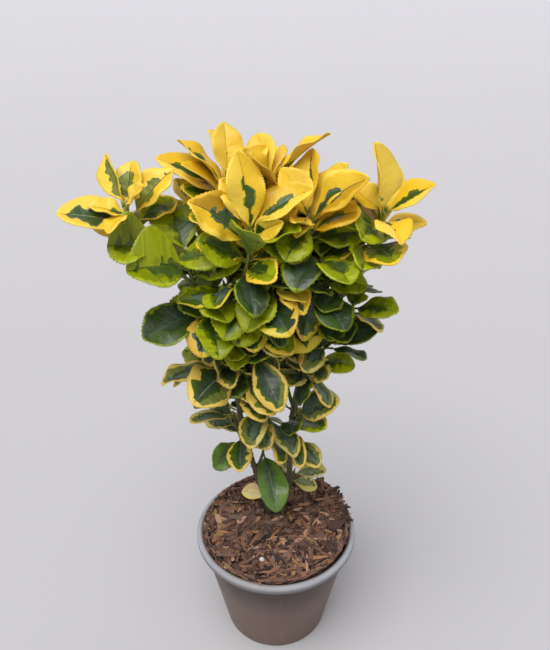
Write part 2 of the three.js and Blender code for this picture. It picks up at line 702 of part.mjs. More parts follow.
const spindle = new THREE.Group();
spindle.add(namedMesh('pot', toGeometry(pot), COLOURS.pot, 0.55));
spindle.add(namedMesh('potting_bark', toGeometry(bark), COLOURS.bark, 0.95));
for (const name of limbNames) {
  const colour = LIMBS[name].from ? COLOURS.bough : COLOURS.stem;
  spindle.add(namedMesh(name, toGeometry(limbs[name]), colour, 0.75));
}
for (const { mass, solid } of shoots) {
  const colour = new THREE.Color(COLOURS.leafGreen).lerp(new THREE.Color(COLOURS.leafGold), mass.gold);
  spindle.add(namedMesh(`foliage_${mass.name}`, toGeometry(solid), colour, 0.45));
}

export default spindle;
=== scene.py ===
import math

import bmesh
import bpy
from mathutils import Matrix, Vector, noise
from mathutils.bvhtree import BVHTree


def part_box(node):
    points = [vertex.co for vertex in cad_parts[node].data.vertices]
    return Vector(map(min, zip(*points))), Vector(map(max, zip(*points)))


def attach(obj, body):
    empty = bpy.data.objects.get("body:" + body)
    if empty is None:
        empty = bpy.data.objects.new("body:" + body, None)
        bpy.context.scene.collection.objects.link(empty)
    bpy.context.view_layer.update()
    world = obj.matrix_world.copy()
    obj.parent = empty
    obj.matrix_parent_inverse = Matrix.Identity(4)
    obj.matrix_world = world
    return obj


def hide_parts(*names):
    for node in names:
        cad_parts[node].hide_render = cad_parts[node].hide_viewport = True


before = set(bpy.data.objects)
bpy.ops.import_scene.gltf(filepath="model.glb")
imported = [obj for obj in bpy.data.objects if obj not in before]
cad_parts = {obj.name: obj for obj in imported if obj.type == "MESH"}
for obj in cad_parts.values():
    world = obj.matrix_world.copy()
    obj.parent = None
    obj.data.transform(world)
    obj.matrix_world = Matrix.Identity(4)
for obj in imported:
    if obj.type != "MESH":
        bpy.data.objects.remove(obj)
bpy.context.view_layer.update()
mm = 0.001
print("frame loaded:", len(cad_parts), "nodes")


def between(low, high, share):
    return low + (high - low) * share


def bell(distance, width):
    return math.exp(-(distance / width) ** 2)


def within(value, low, high):
    return min(max(value, low), high)


def lengthOf(line):
    return sum((b - a).length for a, b in zip(line, line[1:]))


def towards(turn, climb):  # a direction from a compass turn and a climb
    return Vector((math.cos(climb) * math.cos(turn), math.cos(climb) * math.sin(turn), math.sin(climb)))


def screen(red, green, blue):  # a colour as a screen shows it, for a shader
    parts = [part / 255 for part in (red, green, blue)]
    return tuple(p / 12.92 if p <= 0.04045 else ((p + 0.055) / 1.055) ** 2.4 for p in parts) + (1,)


class Draws:  # a repeatable stream of numbers
    def __init__(self, seed):
        self.state = seed & 0xffffffff

    def __call__(self, low=0, high=1):
        self.state = (self.state + 0x6d2b79f5) & 0xffffffff
        state = self.state
        mixed = (state ^ state >> 15) * (1 | state) & 0xffffffff
        mixed = (mixed + ((mixed ^ mixed >> 7) * (61 | mixed) & 0xffffffff) & 0xffffffff) ^ mixed
        return low + (high - low) * (mixed ^ mixed >> 14) / 4294967296

    def pick(self, choices):
        return choices[min(int(self() * len(choices)), len(choices) - 1)]

    def sway(self, most):
        return self(-most, most)


class Wire:  # an output of a node; arithmetic on it adds Math nodes
    def __init__(self, finish, socket):
        self.finish, self.socket = finish, socket

    def __add__(self, other):
        return self.finish.maths("ADD", self, other)

    def __sub__(self, other):
        return self.finish.maths("SUBTRACT", self, other)

    def __mul__(self, other):
        return self.finish.maths("MULTIPLY", self, other)

    def __pow__(self, other):
        return self.finish.maths("POWER", self, other)

    def __abs__(self):
        return self.finish.maths("ABSOLUTE", self, 0)


class Finish:  # one material: a Principled shader and the nodes that feed it
    def __init__(self, name, sockets):
        self.material = bpy.data.materials.new(name)
        self.material.use_nodes = True
        self.tree = self.material.node_tree
        self.shader = self.tree.nodes["Principled BSDF"]
        self.feed(sockets)

    def plug(self, socket, value):
        if isinstance(value, Wire):
            self.tree.links.new(value.socket, socket)
        else:
            socket.default_value = value

    def feed(self, sockets):
        for key, value in sockets.items():
            self.plug(self.shader.inputs[key], value)

    def node(self, kind, settings=None, inputs=None, output=0):
        made = self.tree.nodes.new(kind)
        for key, value in (settings or {}).items():
            setattr(made, key, value)
        for key, value in (inputs or {}).items():
            self.plug(made.inputs[key], value)
        return Wire(self, made.outputs[output])

    def maths(self, operation, first, second):
        return self.node("ShaderNodeMath", {"operation": operation}, {0: first, 1: second})

    def place(self, stretch=(1, 1, 1)):  # Object coordinates, stretched
        where = self.node("ShaderNodeTexCoord", output="Object")
        return self.node("ShaderNodeMapping", None, {"Vector": where, "Scale": stretch})

    def along(self, axis, where=None):
        return self.node("ShaderNodeSeparateXYZ", None, {"Vector": where or self.place()}, output=axis)

    def grain(self, scale, detail=2, roughness=0.5, stretch=(1, 1, 1)):
        inputs = {"Vector": self.place(stretch), "Scale": scale, "Detail": detail, "Roughness": roughness}
        return self.node("ShaderNodeTexNoise", None, inputs)

    def ramp(self, value, low, high, first=0, last=1):
        inputs = {"Value": value, "From Min": low, "From Max": high, "To Min": first, "To Max": last}
        return self.node("ShaderNodeMapRange", {"interpolation_type": "SMOOTHSTEP"}, inputs)

    def blend(self, share, first, second):  # first and second are wires or colours of a screen
        first, second = (part if isinstance(part, Wire) else screen(*part) for part in (first, second))
        settings = {"data_type": "RGBA", "blend_type": "MIX"}
        return self.node("ShaderNodeMix", settings, {0: share, 6: first, 7: second}, output=2)

    def layered(self, colour, *layers):  # lays tints over a colour, each with its share
        for share, tint in layers:
            colour = self.blend(share, colour, tint)
        return colour

    def relief(self, height, depth):
        return self.node("ShaderNodeBump", None, {"Height": height, "Distance": depth, "Strength": 1})


def vertsOf(made):
    return [part for part in made if isinstance(part, bmesh.types.BMVert)]


def meshOf(name, bm, materials=()):
    mesh = bpy.data.meshes.new(name)
    bm.to_mesh(mesh)
    bm.free()
    for material in materials:
        mesh.materials.append(material)
    return mesh


def standing(name, data):  # an object that stands in the scene
    made = bpy.data.objects.new(name, data)
    bpy.context.scene.collection.objects.link(made)
    return made


# A piece modelled in millimetres, put in the frame in metres
def addPiece(name, bm, materials, slot, nodes):
    bmesh.ops.scale(bm, vec=(mm, mm, mm), verts=bm.verts)
    piece = standing(name, meshOf(name, bm, materials))
    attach(piece, "root")
    if nodes:
        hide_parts(*nodes)
    print(name, "made:", len(piece.data.polygons), "faces")
    return piece


def join(whole, part):  # adds a small mesh to a larger one
    mesh = meshOf("part", part)
    whole.from_mesh(mesh)
    bpy.data.meshes.remove(mesh)


def addModifier(piece, kind, **settings):
    modifier = piece.modifiers.new(kind.lower(), kind)
    for key, value in settings.items():
        setattr(modifier, key, value)
    return modifier


def smooth(faces, material=0):
    for face in faces:
        face.material_index = material
        face.smooth = True


# A round section carried along a line of points and closed at both ends
def sweep(whole, points, radii, sides, material=0, change=None):
    bm = bmesh.new()
    ring = bmesh.ops.create_circle(bm, cap_ends=True, segments=sides, radius=1)["verts"]
    edges = list(bm.edges)
    last = points[1] - points[0]
    turn = last.to_track_quat("Z", "Y").to_matrix().to_4x4()
    before = Matrix.Identity(4)
    for i, (point, radius) in enumerate(zip(points, radii)):
        if i:
            ring = vertsOf(bmesh.ops.extrude_edge_only(bm, edges=edges)["geom"])
            edges = [edge for edge in dict.fromkeys(e for v in ring for e in v.link_edges)
                     if all(vert in ring for vert in edge.verts)]
            ahead = points[min(i + 1, len(points) - 1)] - points[i - 1]
            turn = last.rotation_difference(ahead).to_matrix().to_4x4() @ turn
            last = ahead
        now = Matrix.Translation(point) @ turn @ Matrix.Diagonal((radius, radius, radius, 1))
        bmesh.ops.transform(bm, matrix=now @ before.inverted(), verts=ring)
        before = now
    bmesh.ops.contextual_create(bm, geom=edges)
    bmesh.ops.recalc_face_normals(bm, faces=bm.faces)
    smooth(bm.faces, material)
    if change:
        change(bm)
    join(whole, bm)


# Camera at the photo's viewing angle, 348 mm in front and 420 mm up
camera = standing("camera", bpy.data.cameras.new("camera"))
bpy.context.scene.camera = camera
camera.location = (0, -0.348, 0.42)
camera.rotation_euler = (math.radians(64.5), 0, 0)
camera.data.lens = 33.23
camera.data.shift_x = -1 / 650
camera.data.clip_start = 0.01

# A pale studio: even light from all round, a wide soft lamp above and a floor that sweeps up at its far end
studio = {
    "sky": (0.84, 0.85, 0.88, 1), "skyStrength": 0.6,
    "sunFrom": (-0.35, -0.6, 1.5), "sunStrength": 2.5, "sunSpread": 50,
    "floor": (188, 186, 188), "far": (212, 210, 215), "farHeight": 0.9,
    "halfWidth": 5, "front": -4, "bend": 0.45, "bendRadius": 1.6, "steps": 24, "rise": 3,
}


def drawnOut(bm, edges, offset):  # extrudes edges, and gives their far edges
    verts = vertsOf(bmesh.ops.extrude_edge_only(bm, edges=edges)["geom"])
    bmesh.ops.translate(bm, vec=offset, verts=verts)
    return [edge for edge in bm.edges if all(vert in verts for vert in edge.verts)]


def makeStudio():
    scene = bpy.context.scene
    scene.view_settings.view_transform = "Standard"
    scene.world = bpy.data.worlds.new("studio")
    scene.world.use_nodes = True
    background = scene.world.node_tree.nodes["Background"]
    background.inputs["Color"].default_value = studio["sky"]
    background.inputs["Strength"].default_value = studio["skyStrength"]
    sun = standing("softSun", bpy.data.lights.new("softSun", "SUN"))
    sun.rotation_euler = Vector(studio["sunFrom"]).to_track_quat("Z", "Y").to_euler()
    sun.data.energy = studio["sunStrength"]
    sun.data.angle = math.radians(studio["sunSpread"])
    bm = bmesh.new()
    edge = bm.edges.new([bm.verts.new((side * studio["halfWidth"], studio["front"], 0)) for side in (-1, 1)])
    edges = drawnOut(bm, [edge], (0, studio["bend"] - studio["front"], 0))
    curve = bmesh.ops.spin(bm, geom=edges, cent=(0, studio["bend"], studio["bendRadius"]), axis=(1, 0, 0),
                           angle=math.pi / 2, steps=studio["steps"])["geom_last"]
    drawnOut(bm, [part for part in curve if isinstance(part, bmesh.types.BMEdge)], (0, 0, studio["rise"]))
    bmesh.ops.remove_doubles(bm, verts=bm.verts, dist=1e-5)
    bmesh.ops.recalc_face_normals(bm, faces=bm.faces)
    smooth(bm.faces)
    paper = Finish("pale paper", {})
    rise = paper.ramp(paper.along(2), 0, studio["farHeight"])
    paper.feed({"Base Color": paper.blend(rise, studio["floor"], studio["far"]),
                "Roughness": paper.ramp(paper.grain(4, 2), 0.3, 0.7, 0.85, 0.95)})
    floor = standing("floor", meshOf("floor", bm, [paper.material]))


makeStudio()
print("studio made")

# Pot: a thin tapered wall, a rolled rim with a short skirt, and six drain holes
pot = {
    "height": 85, "rimRadius": 60, "rimDrop": 4.9, "rimWidth": 4.4, "skirt": 1.5,
    "wall": 1.5, "shoulderRadius": 55.6, "baseRadius": 39, "floor": 2, "segments": 96, "rows": 12,
    "bevels": {"rimOuter": 2.3, "rimInner": 1.2, "lip": 0.55, "foot": 1.5, "inside": 1.0}, "bevelSegments": 4,
    "drainHoles": 6, "drainRadius": 3.2, "drainCircle": 27, "splitAngle": 38,
    # Painted light: the rim's top is a lighter grey, as lit from above; its side is a darker grey, and the body below
    # the lip is the plastic's own taupe painted darker as shade and redder as a painted reflection
    "grey": (164, 167, 173), "shadedRimSide": (116, 117, 123), "shadedWarmBody": (103, 83, 79), "dust": (114, 92, 80),
    # The darkest tint is painted shade under the rim, laid from 38 mm up to the lip
    "underRimShade": (62, 53, 49), "scuff": (178, 172, 166), "speck": (78, 58, 46),
    "litRimRise": (0.0815, 0.0842), "rimFoot": (0.0806, 0.0794), "innerEdge": (0.0561, 0.0578),
    "underRimShadeRise": (0.038, 0.072), "underRimShadeTop": (0.0806, 0.0796), "speckRise": (0.03, 0.084), "relief": 0.00012,
}


def insideRadius(z):
    share = (z - pot["floor"]) / (pot["height"] - pot["rimDrop"] - pot["floor"])
    return between(pot["baseRadius"], pot["shoulderRadius"], min(share, 1)) - pot["wall"]


def potPlastic():
    plastic = Finish("moulded grey plastic", {"Roughness": 0.5, "Specular IOR Level": 0.4})
    across, deep, height = (plastic.along(axis) for axis in range(3))
    cloud = plastic.grain(22, 3, 0.6)
    speck = plastic.ramp(plastic.grain(520, 2, 0.6), 0.66, 0.74)
    scuff = plastic.ramp(plastic.grain(90, 3, 0.6, (1, 1, 0.14)), 0.6, 0.78)
    radius = (across * across + deep * deep) ** 0.5
    # Painted shade under the rim: darker from 38 mm up towards the lip, on the wall inside and out, broken a little by
    # the cloud
    under = plastic.ramp(height, *pot["underRimShadeRise"]) * plastic.ramp(height, *pot["underRimShadeTop"])
    # Painted light and shade: the rim's top is laid in a lighter grey as lit from above, its side in a darker grey,
    # and the body below the lip in a darker, redder taupe. That taupe is painted shade and a painted reddish
    # reflection over the plastic's own colour. The dust, scuffs and specks are the plastic's own marks
    colour = plastic.layered(
        pot["shadedRimSide"], (plastic.ramp(height, *pot["litRimRise"]), pot["grey"]),
        (plastic.ramp(height, *pot["rimFoot"]), pot["shadedWarmBody"]),
        (plastic.ramp(cloud, 0.35, 0.75, 0, 0.35), pot["dust"]),
        (plastic.ramp(radius, *pot["innerEdge"], 0.75, 0), pot["dust"]),
        (under * plastic.ramp(cloud, 0.2, 0.8, 0.75, 1), pot["underRimShade"]),
        (scuff * 0.16, pot["scuff"]),
        (speck * plastic.ramp(height, *pot["speckRise"], 0.1, 0.65), pot["speck"]))
    fine = plastic.grain(900, 2, 0.5)
    lines = plastic.grain(60, 2, 0.5, (0.2, 0.2, 14))  # faint rings from the mould
    plastic.feed({
        "Base Color": colour,
        "Roughness": plastic.ramp(cloud + scuff * 0.3, 0.3, 0.9, 0.4, 0.6),
        "Normal": plastic.relief(lines * 0.6 + fine * 0.25 + scuff * 0.3, pot["relief"]),
    })
    return plastic.material


def ringEdges(bm, radius, z):
    def onRing(vert):
        return abs(math.hypot(vert.co.x, vert.co.y) - radius) < 0.02 and abs(vert.co.z - z) < 0.02
    return [edge for edge in bm.edges if all(onRing(vert) for vert in edge.verts)]


def drillHoles(piece):
    drill = bmesh.new()
    radius, circle = pot["drainRadius"], pot["drainCircle"]
    for i in range(pot["drainHoles"]):
        turn = 2 * math.pi * (i + 0.5) / pot["drainHoles"]
        where = Matrix.Translation((circle * math.cos(turn), circle * math.sin(turn), 1))
        bmesh.ops.create_cone(drill, cap_ends=True, segments=24, radius1=radius, radius2=radius, depth=6,
                              matrix=where)
    bmesh.ops.scale(drill, vec=(mm, mm, mm), verts=drill.verts)
    cutter = standing("drill", meshOf("drill", drill))
    cut = addModifier(piece, "BOOLEAN", operation="DIFFERENCE", object=cutter, solver="EXACT")
    drilled = bpy.data.meshes.new_from_object(piece.evaluated_get(bpy.context.evaluated_depsgraph_get()))
    piece.modifiers.remove(cut)
    piece.data = drilled
    bpy.data.objects.remove(cutter)


def makePot():
    top, rim, lip, rows = pot["height"], pot["rimRadius"], pot["height"] - pot["rimDrop"], pot["rows"]
    under, inner, skirt = top - pot["skirt"], rim - pot["rimWidth"], rim - pot["skirt"]
    shoulder, base, floor = pot["shoulderRadius"], pot["baseRadius"], pot["floor"]
    outside = [(between(base, shoulder, i / rows), lip * i / rows) for i in range(rows + 1)]
    inside = [(insideRadius(z), z) for z in (between(lip, floor, i / rows) for i in range(rows + 1))]
    profile = [(0, 0), (base / 2, 0), *outside, (shoulder, under), (skirt, under), (skirt, lip), (rim, lip),
               (rim, top), (inner, top), *inside, (base / 2, floor), (0, floor)]
    bm = bmesh.new()
    verts = [bm.verts.new((radius, 0, z)) for radius, z in profile]
    edges = [bm.edges.new(pair) for pair in zip(verts, verts[1:])]
    bmesh.ops.spin(bm, geom=verts + edges, cent=(0, 0, 0), axis=(0, 0, 1), angle=2 * math.pi,
                   steps=pot["segments"], use_merge=True)
    bmesh.ops.remove_doubles(bm, verts=bm.verts, dist=1e-3)
    bmesh.ops.recalc_face_normals(bm, faces=bm.faces)
    corners = {"rimOuter": (rim, top), "rimInner": (inner, top), "lip": (rim, lip), "foot": (base, 0),
               "inside": (insideRadius(floor), floor)}
    for corner, (radius, z) in corners.items():
        bmesh.ops.bevel(bm, geom=ringEdges(bm, radius, z), offset=pot["bevels"][corner], offset_type="OFFSET",
                        segments=pot["bevelSegments"], profile=0.5, affect="EDGES", material=-1)
    smooth(bm.faces)
    piece = addPiece("nurseryPot", bm, [potPlastic()], "pot", ["pot"])
    drillHoles(piece)
    addModifier(piece, "EDGE_SPLIT", split_angle=math.radians(pot["splitAngle"]))


makePot()

# Potting bark: a dark fibrous bed, heaped towards the back right, under loose splinters, fibres and crumbs
mulch = {
    "level": 85.4, "frontDrop": 1.5, "heap": 4.2, "heapHeading": 35, "grain": 0.7, "gap": 0.3,
    "segments": 64, "rings": 13, "depth": 30, "clod": 1.1, "sunk": 0.4, "seed": 11,
    "stemFeet": [(-4.8, 14, 3.6), (4.8, 14.5, 3.6)],
    # how many, length, width, thickness, lean and lift; edge lies along the pot's wall, overRim is heaped
    # against the rim at the back right
    "lots": {"crumbs": (600, (1.4, 4), (1, 3), (0.8, 1.8), 40, (-0.2, 1.6)),
             "splinters": (900, (5, 15), (1.2, 4.2), (0.6, 1.8), 18, (-0.2, 2.4)),
             "edge": (480, (4, 10), (1, 3), (0.6, 1.6), 14, (0.2, 2.4)),
             "fibres": (620, (4, 12), (0.4, 1.1), (0.3, 0.8), 24, (0.2, 2.6)),
             "overRim": (120, (5, 14), (1.5, 5), (0.6, 1.6), 30, (0.5, 5.5)),
             "slabs": (46, (7, 13), (2.2, 4.4), (0.8, 1.6), 14, (1.4, 2.8))},
    "mossAt": (-28, 4, 16), "mossShare": 0.4,
    # single chips: place, size, turn, lean and tint
    "odd": [((47, -4, 91), (15, 10, 1.5), 0.35, -0.28, "umber"), ((49, 25, 92), (11, 1.5, 1.4), 0.3, -1.35, "peat")],
    "bead": (-10, -37, 88), "beadRadius": 1.9, "bedTints": ((44, 33, 28), (94, 70, 58), (116, 82, 60)),
    "tints": {"umber": (80, 58, 50), "honey": (164, 118, 82), "chestnut": (110, 82, 68), "russet": (132, 92, 72),
              "tan": (182, 140, 116), "grey bark": (118, 98, 86), "peat": (54, 41, 37),
              "ocher bark": (138, 108, 72), "moss": (108, 106, 48), "stone": (208, 204, 200)},
    "spread": ["umber"] * 6 + ["chestnut"] * 8 + ["russet"] * 5 + ["tan"] * 2 + ["grey bark"] * 2
              + ["peat"] * 3 + ["ocher bark"],
    "slabSpread": ["tan", "honey", "ocher bark", "russet", "honey", "chestnut"],
}


def barkHeight(x, y):
    out = min(math.hypot(x, y) / insideRadius(pot["height"]), 1)
    heap = math.cos(math.atan2(y, x) - math.radians(mulch["heapHeading"]))
    edge = between(-mulch["frontDrop"], mulch["heap"], (heap + 1) / 2)
    grain = mulch["grain"] * math.sin(0.45 * x + 1.3) * math.sin(0.5 * y - 0.4)
    return mulch["level"] + (edge + grain) * out ** 3


def bedFinish():
    peat = Finish("moist peat", {"Roughness": 0.95})
    clods, fibre = peat.grain(240, 4, 0.7), peat.grain(500, 3, 0.6, (1, 0.3, 1))
    dark, pale, thread = mulch["bedTints"]
    colour = peat.layered(dark, (peat.ramp(clods, 0.3, 0.7), pale), (peat.ramp(fibre, 0.55, 0.75, 0, 0.5), thread))
    peat.feed({"Base Color": colour, "Roughness": peat.ramp(clods, 0.3, 0.7, 0.98, 0.8),
               "Normal": peat.relief(clods + fibre * 0.5, 0.0016)})
    return peat.material


def makeBed():
    rim = insideRadius(pot["height"]) - mulch["gap"]
    bm = bmesh.new()
    bmesh.ops.create_circle(bm, cap_ends=True, segments=mulch["segments"], radius=rim,
                            matrix=Matrix.Translation((0, 0, mulch["level"])))
    verts = vertsOf(bmesh.ops.extrude_face_region(bm, geom=list(bm.faces))["geom"])
    shrink = (insideRadius(mulch["level"] - mulch["depth"]) - mulch["gap"]) / rim
    bmesh.ops.scale(bm, vec=(shrink, shrink, 1), verts=verts)
    bmesh.ops.translate(bm, vec=(0, 0, -mulch["depth"]), verts=verts)
    bmesh.ops.recalc_face_normals(bm, faces=bm.faces)
    lid = max(bm.faces, key=lambda face: face.calc_center_median().z)
    for _ in range(mulch["rings"] - 1):
        bmesh.ops.inset_region(bm, faces=[lid], thickness=rim / mulch["rings"], use_even_offset=True)
    bmesh.ops.poke(bm, faces=[lid])
    for vert in bm.verts:
        if vert.co.z > mulch["level"] - 1:
            inner = math.hypot(vert.co.x, vert.co.y) < rim - 1
            clod = mulch["clod"] * noise.noise(vert.co * 0.22) if inner else -0.6
            vert.co.z = barkHeight(vert.co.x, vert.co.y) + clod - mulch["sunk"]
    smooth(bm.faces)
    addPiece("pottingBed", bm, [bedFinish()], "bark", ["potting_bark"])


# A splinter: a block drawn out along its grain, cut thinner at its ends and bent a little
def addSplinter(whole, where, size, turn, lean, draw, material):
    bm = bmesh.new()
    bmesh.ops.create_cube(bm, size=1)
    longEdges = [edge for edge in bm.edges if abs(edge.verts[0].co.x - edge.verts[1].co.x) > 0.5]
    if size[0] > 4:
        bmesh.ops.subdivide_edges(bm, edges=longEdges, cuts=1)
    bend = draw.sway(0.08) * size[0]
    taper = (draw(0.2, 0.9), draw(0.2, 0.9))
    for vert in bm.verts:
        end = abs(vert.co.x) > 0.3
        share = taper[vert.co.x > 0] if end else 1
        vert.co.y = vert.co.y * share + draw.sway(0.14)
        vert.co.z = vert.co.z * (0.5 + 0.5 * share) + draw.sway(0.12)
        vert.co.x += draw.sway(0.09) if end else draw.sway(0.2)
    place = Matrix.Translation(where) @ Matrix.Rotation(turn, 4, "Z") @ Matrix.Rotation(lean, 4, "Y")
    place = place @ Matrix.Rotation(draw.sway(0.5), 4, "X") @ Matrix.Diagonal((*size, 1))
    bmesh.ops.transform(bm, matrix=place, verts=bm.verts)
    for vert in bm.verts:
        vert.co.z += bend * bell((vert.co.xy - where.xy).length, size[0] / 4)
    for face in bm.faces:
        face.material_index = material
    join(whole, bm)


def chipFinish(name, tint):
    chip = Finish(name + " chip", {"Base Color": screen(*tint), "Roughness": 0.85, "Specular IOR Level": 0.35})
    grain = chip.grain(700, 3, 0.65)
    chip.feed({"Roughness": chip.ramp(grain, 0.3, 0.7, 0.95, 0.7), "Normal": chip.relief(grain, 0.0004)})
    return chip.material


def makeMulch():
    draw = Draws(mulch["seed"])
    names = list(mulch["tints"])
    bm = bmesh.new()
    inside = insideRadius(pot["height"])
    mossX, mossY, mossReach = mulch["mossAt"]
    for kind, (count, lengths, widths, thicks, leaning, lifts) in mulch["lots"].items():
        for _ in range(count):
            length = draw(*lengths)
            size = (length, draw(*widths), draw(*thicks))
            heading, turn, lean = 2 * math.pi * draw(), math.pi * draw(), math.radians(leaning * draw.sway(1))
            reach = (inside - 0.8 - length * 0.42) * math.sqrt(draw())
            if kind == "edge":
                reach, turn = inside + 1.6 - size[1] / 2 - draw(0, 2.4), heading + math.pi / 2 + draw.sway(0.2)
            elif kind == "overRim":
                heading = math.radians(mulch["heapHeading"] - 8 + 26 * draw.sway(1))
                reach = inside - draw(-0.5, 9)
            x, y = reach * math.cos(heading), reach * math.sin(heading)
            lift = draw(*lifts)
            tint = draw.pick(mulch["slabSpread" if kind == "slabs" else "spread"])
            if kind == "overRim":
                lift *= bell(reach - inside + 3, 5)
                tint = "umber" if tint in ("tan", "grey bark") else tint
            elif kind == "crumbs" and math.hypot(x - mossX, y - mossY) < mossReach and draw() < mulch["mossShare"]:
                tint = "moss"
            if all(math.hypot(x - footX, y - footY) >= foot + length * 0.5
                   for footX, footY, foot in mulch["stemFeet"]):
                where = Vector((x, y, barkHeight(x, y) + lift))
                addSplinter(bm, where, size, turn, lean, draw, names.index(tint))
    for where, size, turn, lean, tint in mulch["odd"]:
        addSplinter(bm, Vector(where), size, turn, lean, draw, names.index(tint))
    bead = bmesh.new()
    bmesh.ops.create_icosphere(bead, subdivisions=2, radius=mulch["beadRadius"],
                               matrix=Matrix.Translation(mulch["bead"]))
    smooth(bead.faces, names.index("stone"))
    join(bm, bead)
    materials = [chipFinish(name, tint) for name, tint in mulch["tints"].items()]
    addPiece("barkChips", bm, materials, "bark", ["potting_bark"])


makeBed()
makeMulch()

# Limbs: the line and radii of each, and for a bough the limb it leaves and how far along that
ground = mulch["level"] + mulch["gap"]
limbs = {
    "stem_left": ([(-4.8, 14, ground), (-13, 12, 118), (-18, 10, 140), (-24, 5, 175), (-26, 0, 207), (-22, -5, 250)],
                  (2.2, 1.6)),
    "stem_right": ([(4.8, 14.5, ground), (9.6, 13, 116), (10, 12, 146), (12, 10, 181), (18, 8, 212), (35, 3, 250)],
                   (2.3, 1.7)),
    "bough_front": ([(-21, -8, 270), (-19, -13, 292)], (1.6, 1.2), "stem_left", 1),
    "bough_back_left": ([(-27, 6, 288), (-29, 13, 318)], (1.4, 1.1), "bough_front", 0.15),
    "bough_left": ([(-31, -13, 268), (-43, -13, 277), (-47, -12, 281)], (1.5, 1.2), "stem_left", 0.95),
    "bough_far_left": ([(-60, -14, 300), (-75, -12, 317)], (1.3, 1.1), "bough_left", 0.72),
    "bough_back_right": ([(8, 12, 250), (-1, 12, 292), (-4, 13, 320)], (1.6, 1.1), "stem_right", 0.75),
    "bough_centre_right": ([(24, 3, 262), (21, -3, 288), (20, -6, 310)], (1.5, 1.1), "stem_right", 0.9),
    "bough_right": ([(43, 1, 280), (47, 0, 293), (53, -2, 304)], (1.7, 1.2), "stem_right", 1),
    "bough_right_side": ([(37, 3, 253), (43, 2, 260)], (1.2, 1.0), "stem_right", 0.95),
}
limbForm = {
    "sides": 14, "boughSides": 10, "step": 1.6, "flare": 0.9, "flareHeight": 4, "relief": 0.12, "node": (11, 17),
    "swelling": 0.3, "swellingWidth": 1.1, "scar": (1.25, 0.5, 0.75), "scarTurn": 14, "tip": 0.7, "seed": 31,
    "young": (96, 112, 44), "old": (88, 78, 58), "oldHeights": (0.235, 0.13), "patch": (68, 60, 48),
    "furrow": (52, 40, 32), "dot": (176, 158, 124),
}


def smoothPoint(points, share):  # a smooth line through all of its points
    place = share * (len(points) - 1)
    i = min(int(place), len(points) - 2)
    step = place - i
    here, there = points[i], points[i + 1]
    before = points[i - 1] if i else 2 * here - there
    after = points[i + 2] if i + 2 < len(points) else 2 * there - here
    leaving, arriving = (there - before) / 2, (after - here) / 2
    return (here + step * leaving + step ** 2 * (3 * there - 3 * here - 2 * leaving - arriving)
            + step ** 3 * (2 * here - 2 * there + leaving + arriving))


def limbPoint(name, share):
    path, _, *parent = limbs[name]
    points = [Vector(point) for point in path]
    if parent:
        points.insert(0, limbPoint(*parent))
    return smoothPoint(points, share)


def stemFinish():
    bark = Finish("young spindle stem", {"Coat Weight": 0.05, "Coat Roughness": 0.4})
    patch = bark.grain(70, 3, 0.6, (1, 1, 0.4))
    furrow = bark.grain(500, 3, 0.6, (1, 1, 0.16))
    dots = bark.ramp(bark.grain(900, 1, 0.4), 0.68, 0.74)
    old = bark.ramp(bark.along(2) - patch * 0.05, *limbForm["oldHeights"])
    colour = bark.layered(
        limbForm["young"], (old, limbForm["old"]), (bark.ramp(patch, 0.45, 0.7, 0, 0.6), limbForm["patch"]),
        (bark.ramp(furrow, 0.55, 0.72, 0, 0.45), limbForm["furrow"]), (dots * 0.5, limbForm["dot"]))
    bark.feed({"Base Color": colour, "Roughness": bark.ramp(furrow, 0.3, 0.7, 0.5, 0.75),
               "Normal": bark.relief(furrow + patch * 0.5 + dots * 0.3, 0.0005)})
    return bark.material


# The scar of a dropped leaf: a flat knob on the bark
def addScar(whole, centre, ahead, heading, radius):
    out = Vector((math.cos(heading), math.sin(heading), 0))
    out = (out - ahead * out.dot(ahead)).normalized()
    turned = Matrix((out.cross(ahead), out, ahead)).transposed().to_4x4()
    where = Matrix.Translation(centre + out * (radius + 0.1)) @ turned @ Matrix.Diagonal((*limbForm["scar"], 1))
    bm = bmesh.new()
    bmesh.ops.create_icosphere(bm, subdivisions=1, radius=1, matrix=where)
    smooth(bm.faces)
    join(whole, bm)


def addLimb(whole, name, draw):
    _, ends, *parent = limbs[name]
    length = lengthOf([limbPoint(name, i / 40) for i in range(41)])
    nodes, place = [], draw(*limbForm["node"])
    while place < length - 4:
        nodes.append(place)
        place += draw(*limbForm["node"])
    steps = math.ceil(length / limbForm["step"])
    points = [limbPoint(name, i / steps) for i in range(steps + 1)]
    radii = []
    for i in range(steps + 1):
        along = length * i / steps
        radius = between(*ends, i / steps)
        radius += 0 if parent else limbForm["flare"] * math.exp(-along / limbForm["flareHeight"])
        radius += limbForm["swelling"] * sum(bell(along - node, limbForm["swellingWidth"]) for node in nodes)
        radii.append(radius)
    radii[-1] *= limbForm["tip"]

    def roughen(bm):
        for vert in bm.verts:
            bump = noise.noise(Vector((vert.co.x * 1.1, vert.co.y * 1.1, vert.co.z * 0.35)))
            centre = min(points, key=lambda point: (point - vert.co).length_squared)
            vert.co += (vert.co - centre) * limbForm["relief"] * bump
    sweep(whole, points, radii, limbForm["boughSides" if parent else "sides"], change=roughen)
    turn = 360 * draw()
    for node in nodes:  # scars in pairs that turn by a quarter
        share = node / length
        ahead = (limbPoint(name, min(share + 0.01, 1)) - limbPoint(name, share - 0.01)).normalized()
        turn += 90 + draw.sway(limbForm["scarTurn"])
        for side in (0, 180):
            addScar(whole, limbPoint(name, share), ahead, math.radians(turn + side), between(*ends, share))


def makeLimbs():
    bm = bmesh.new()
    for index, name in enumerate(limbs):
        addLimb(bm, name, Draws(limbForm["seed"] + index))
    addPiece("stemsAndBoughs", bm, [stemFinish()], "stem", list(limbs))


makeLimbs()

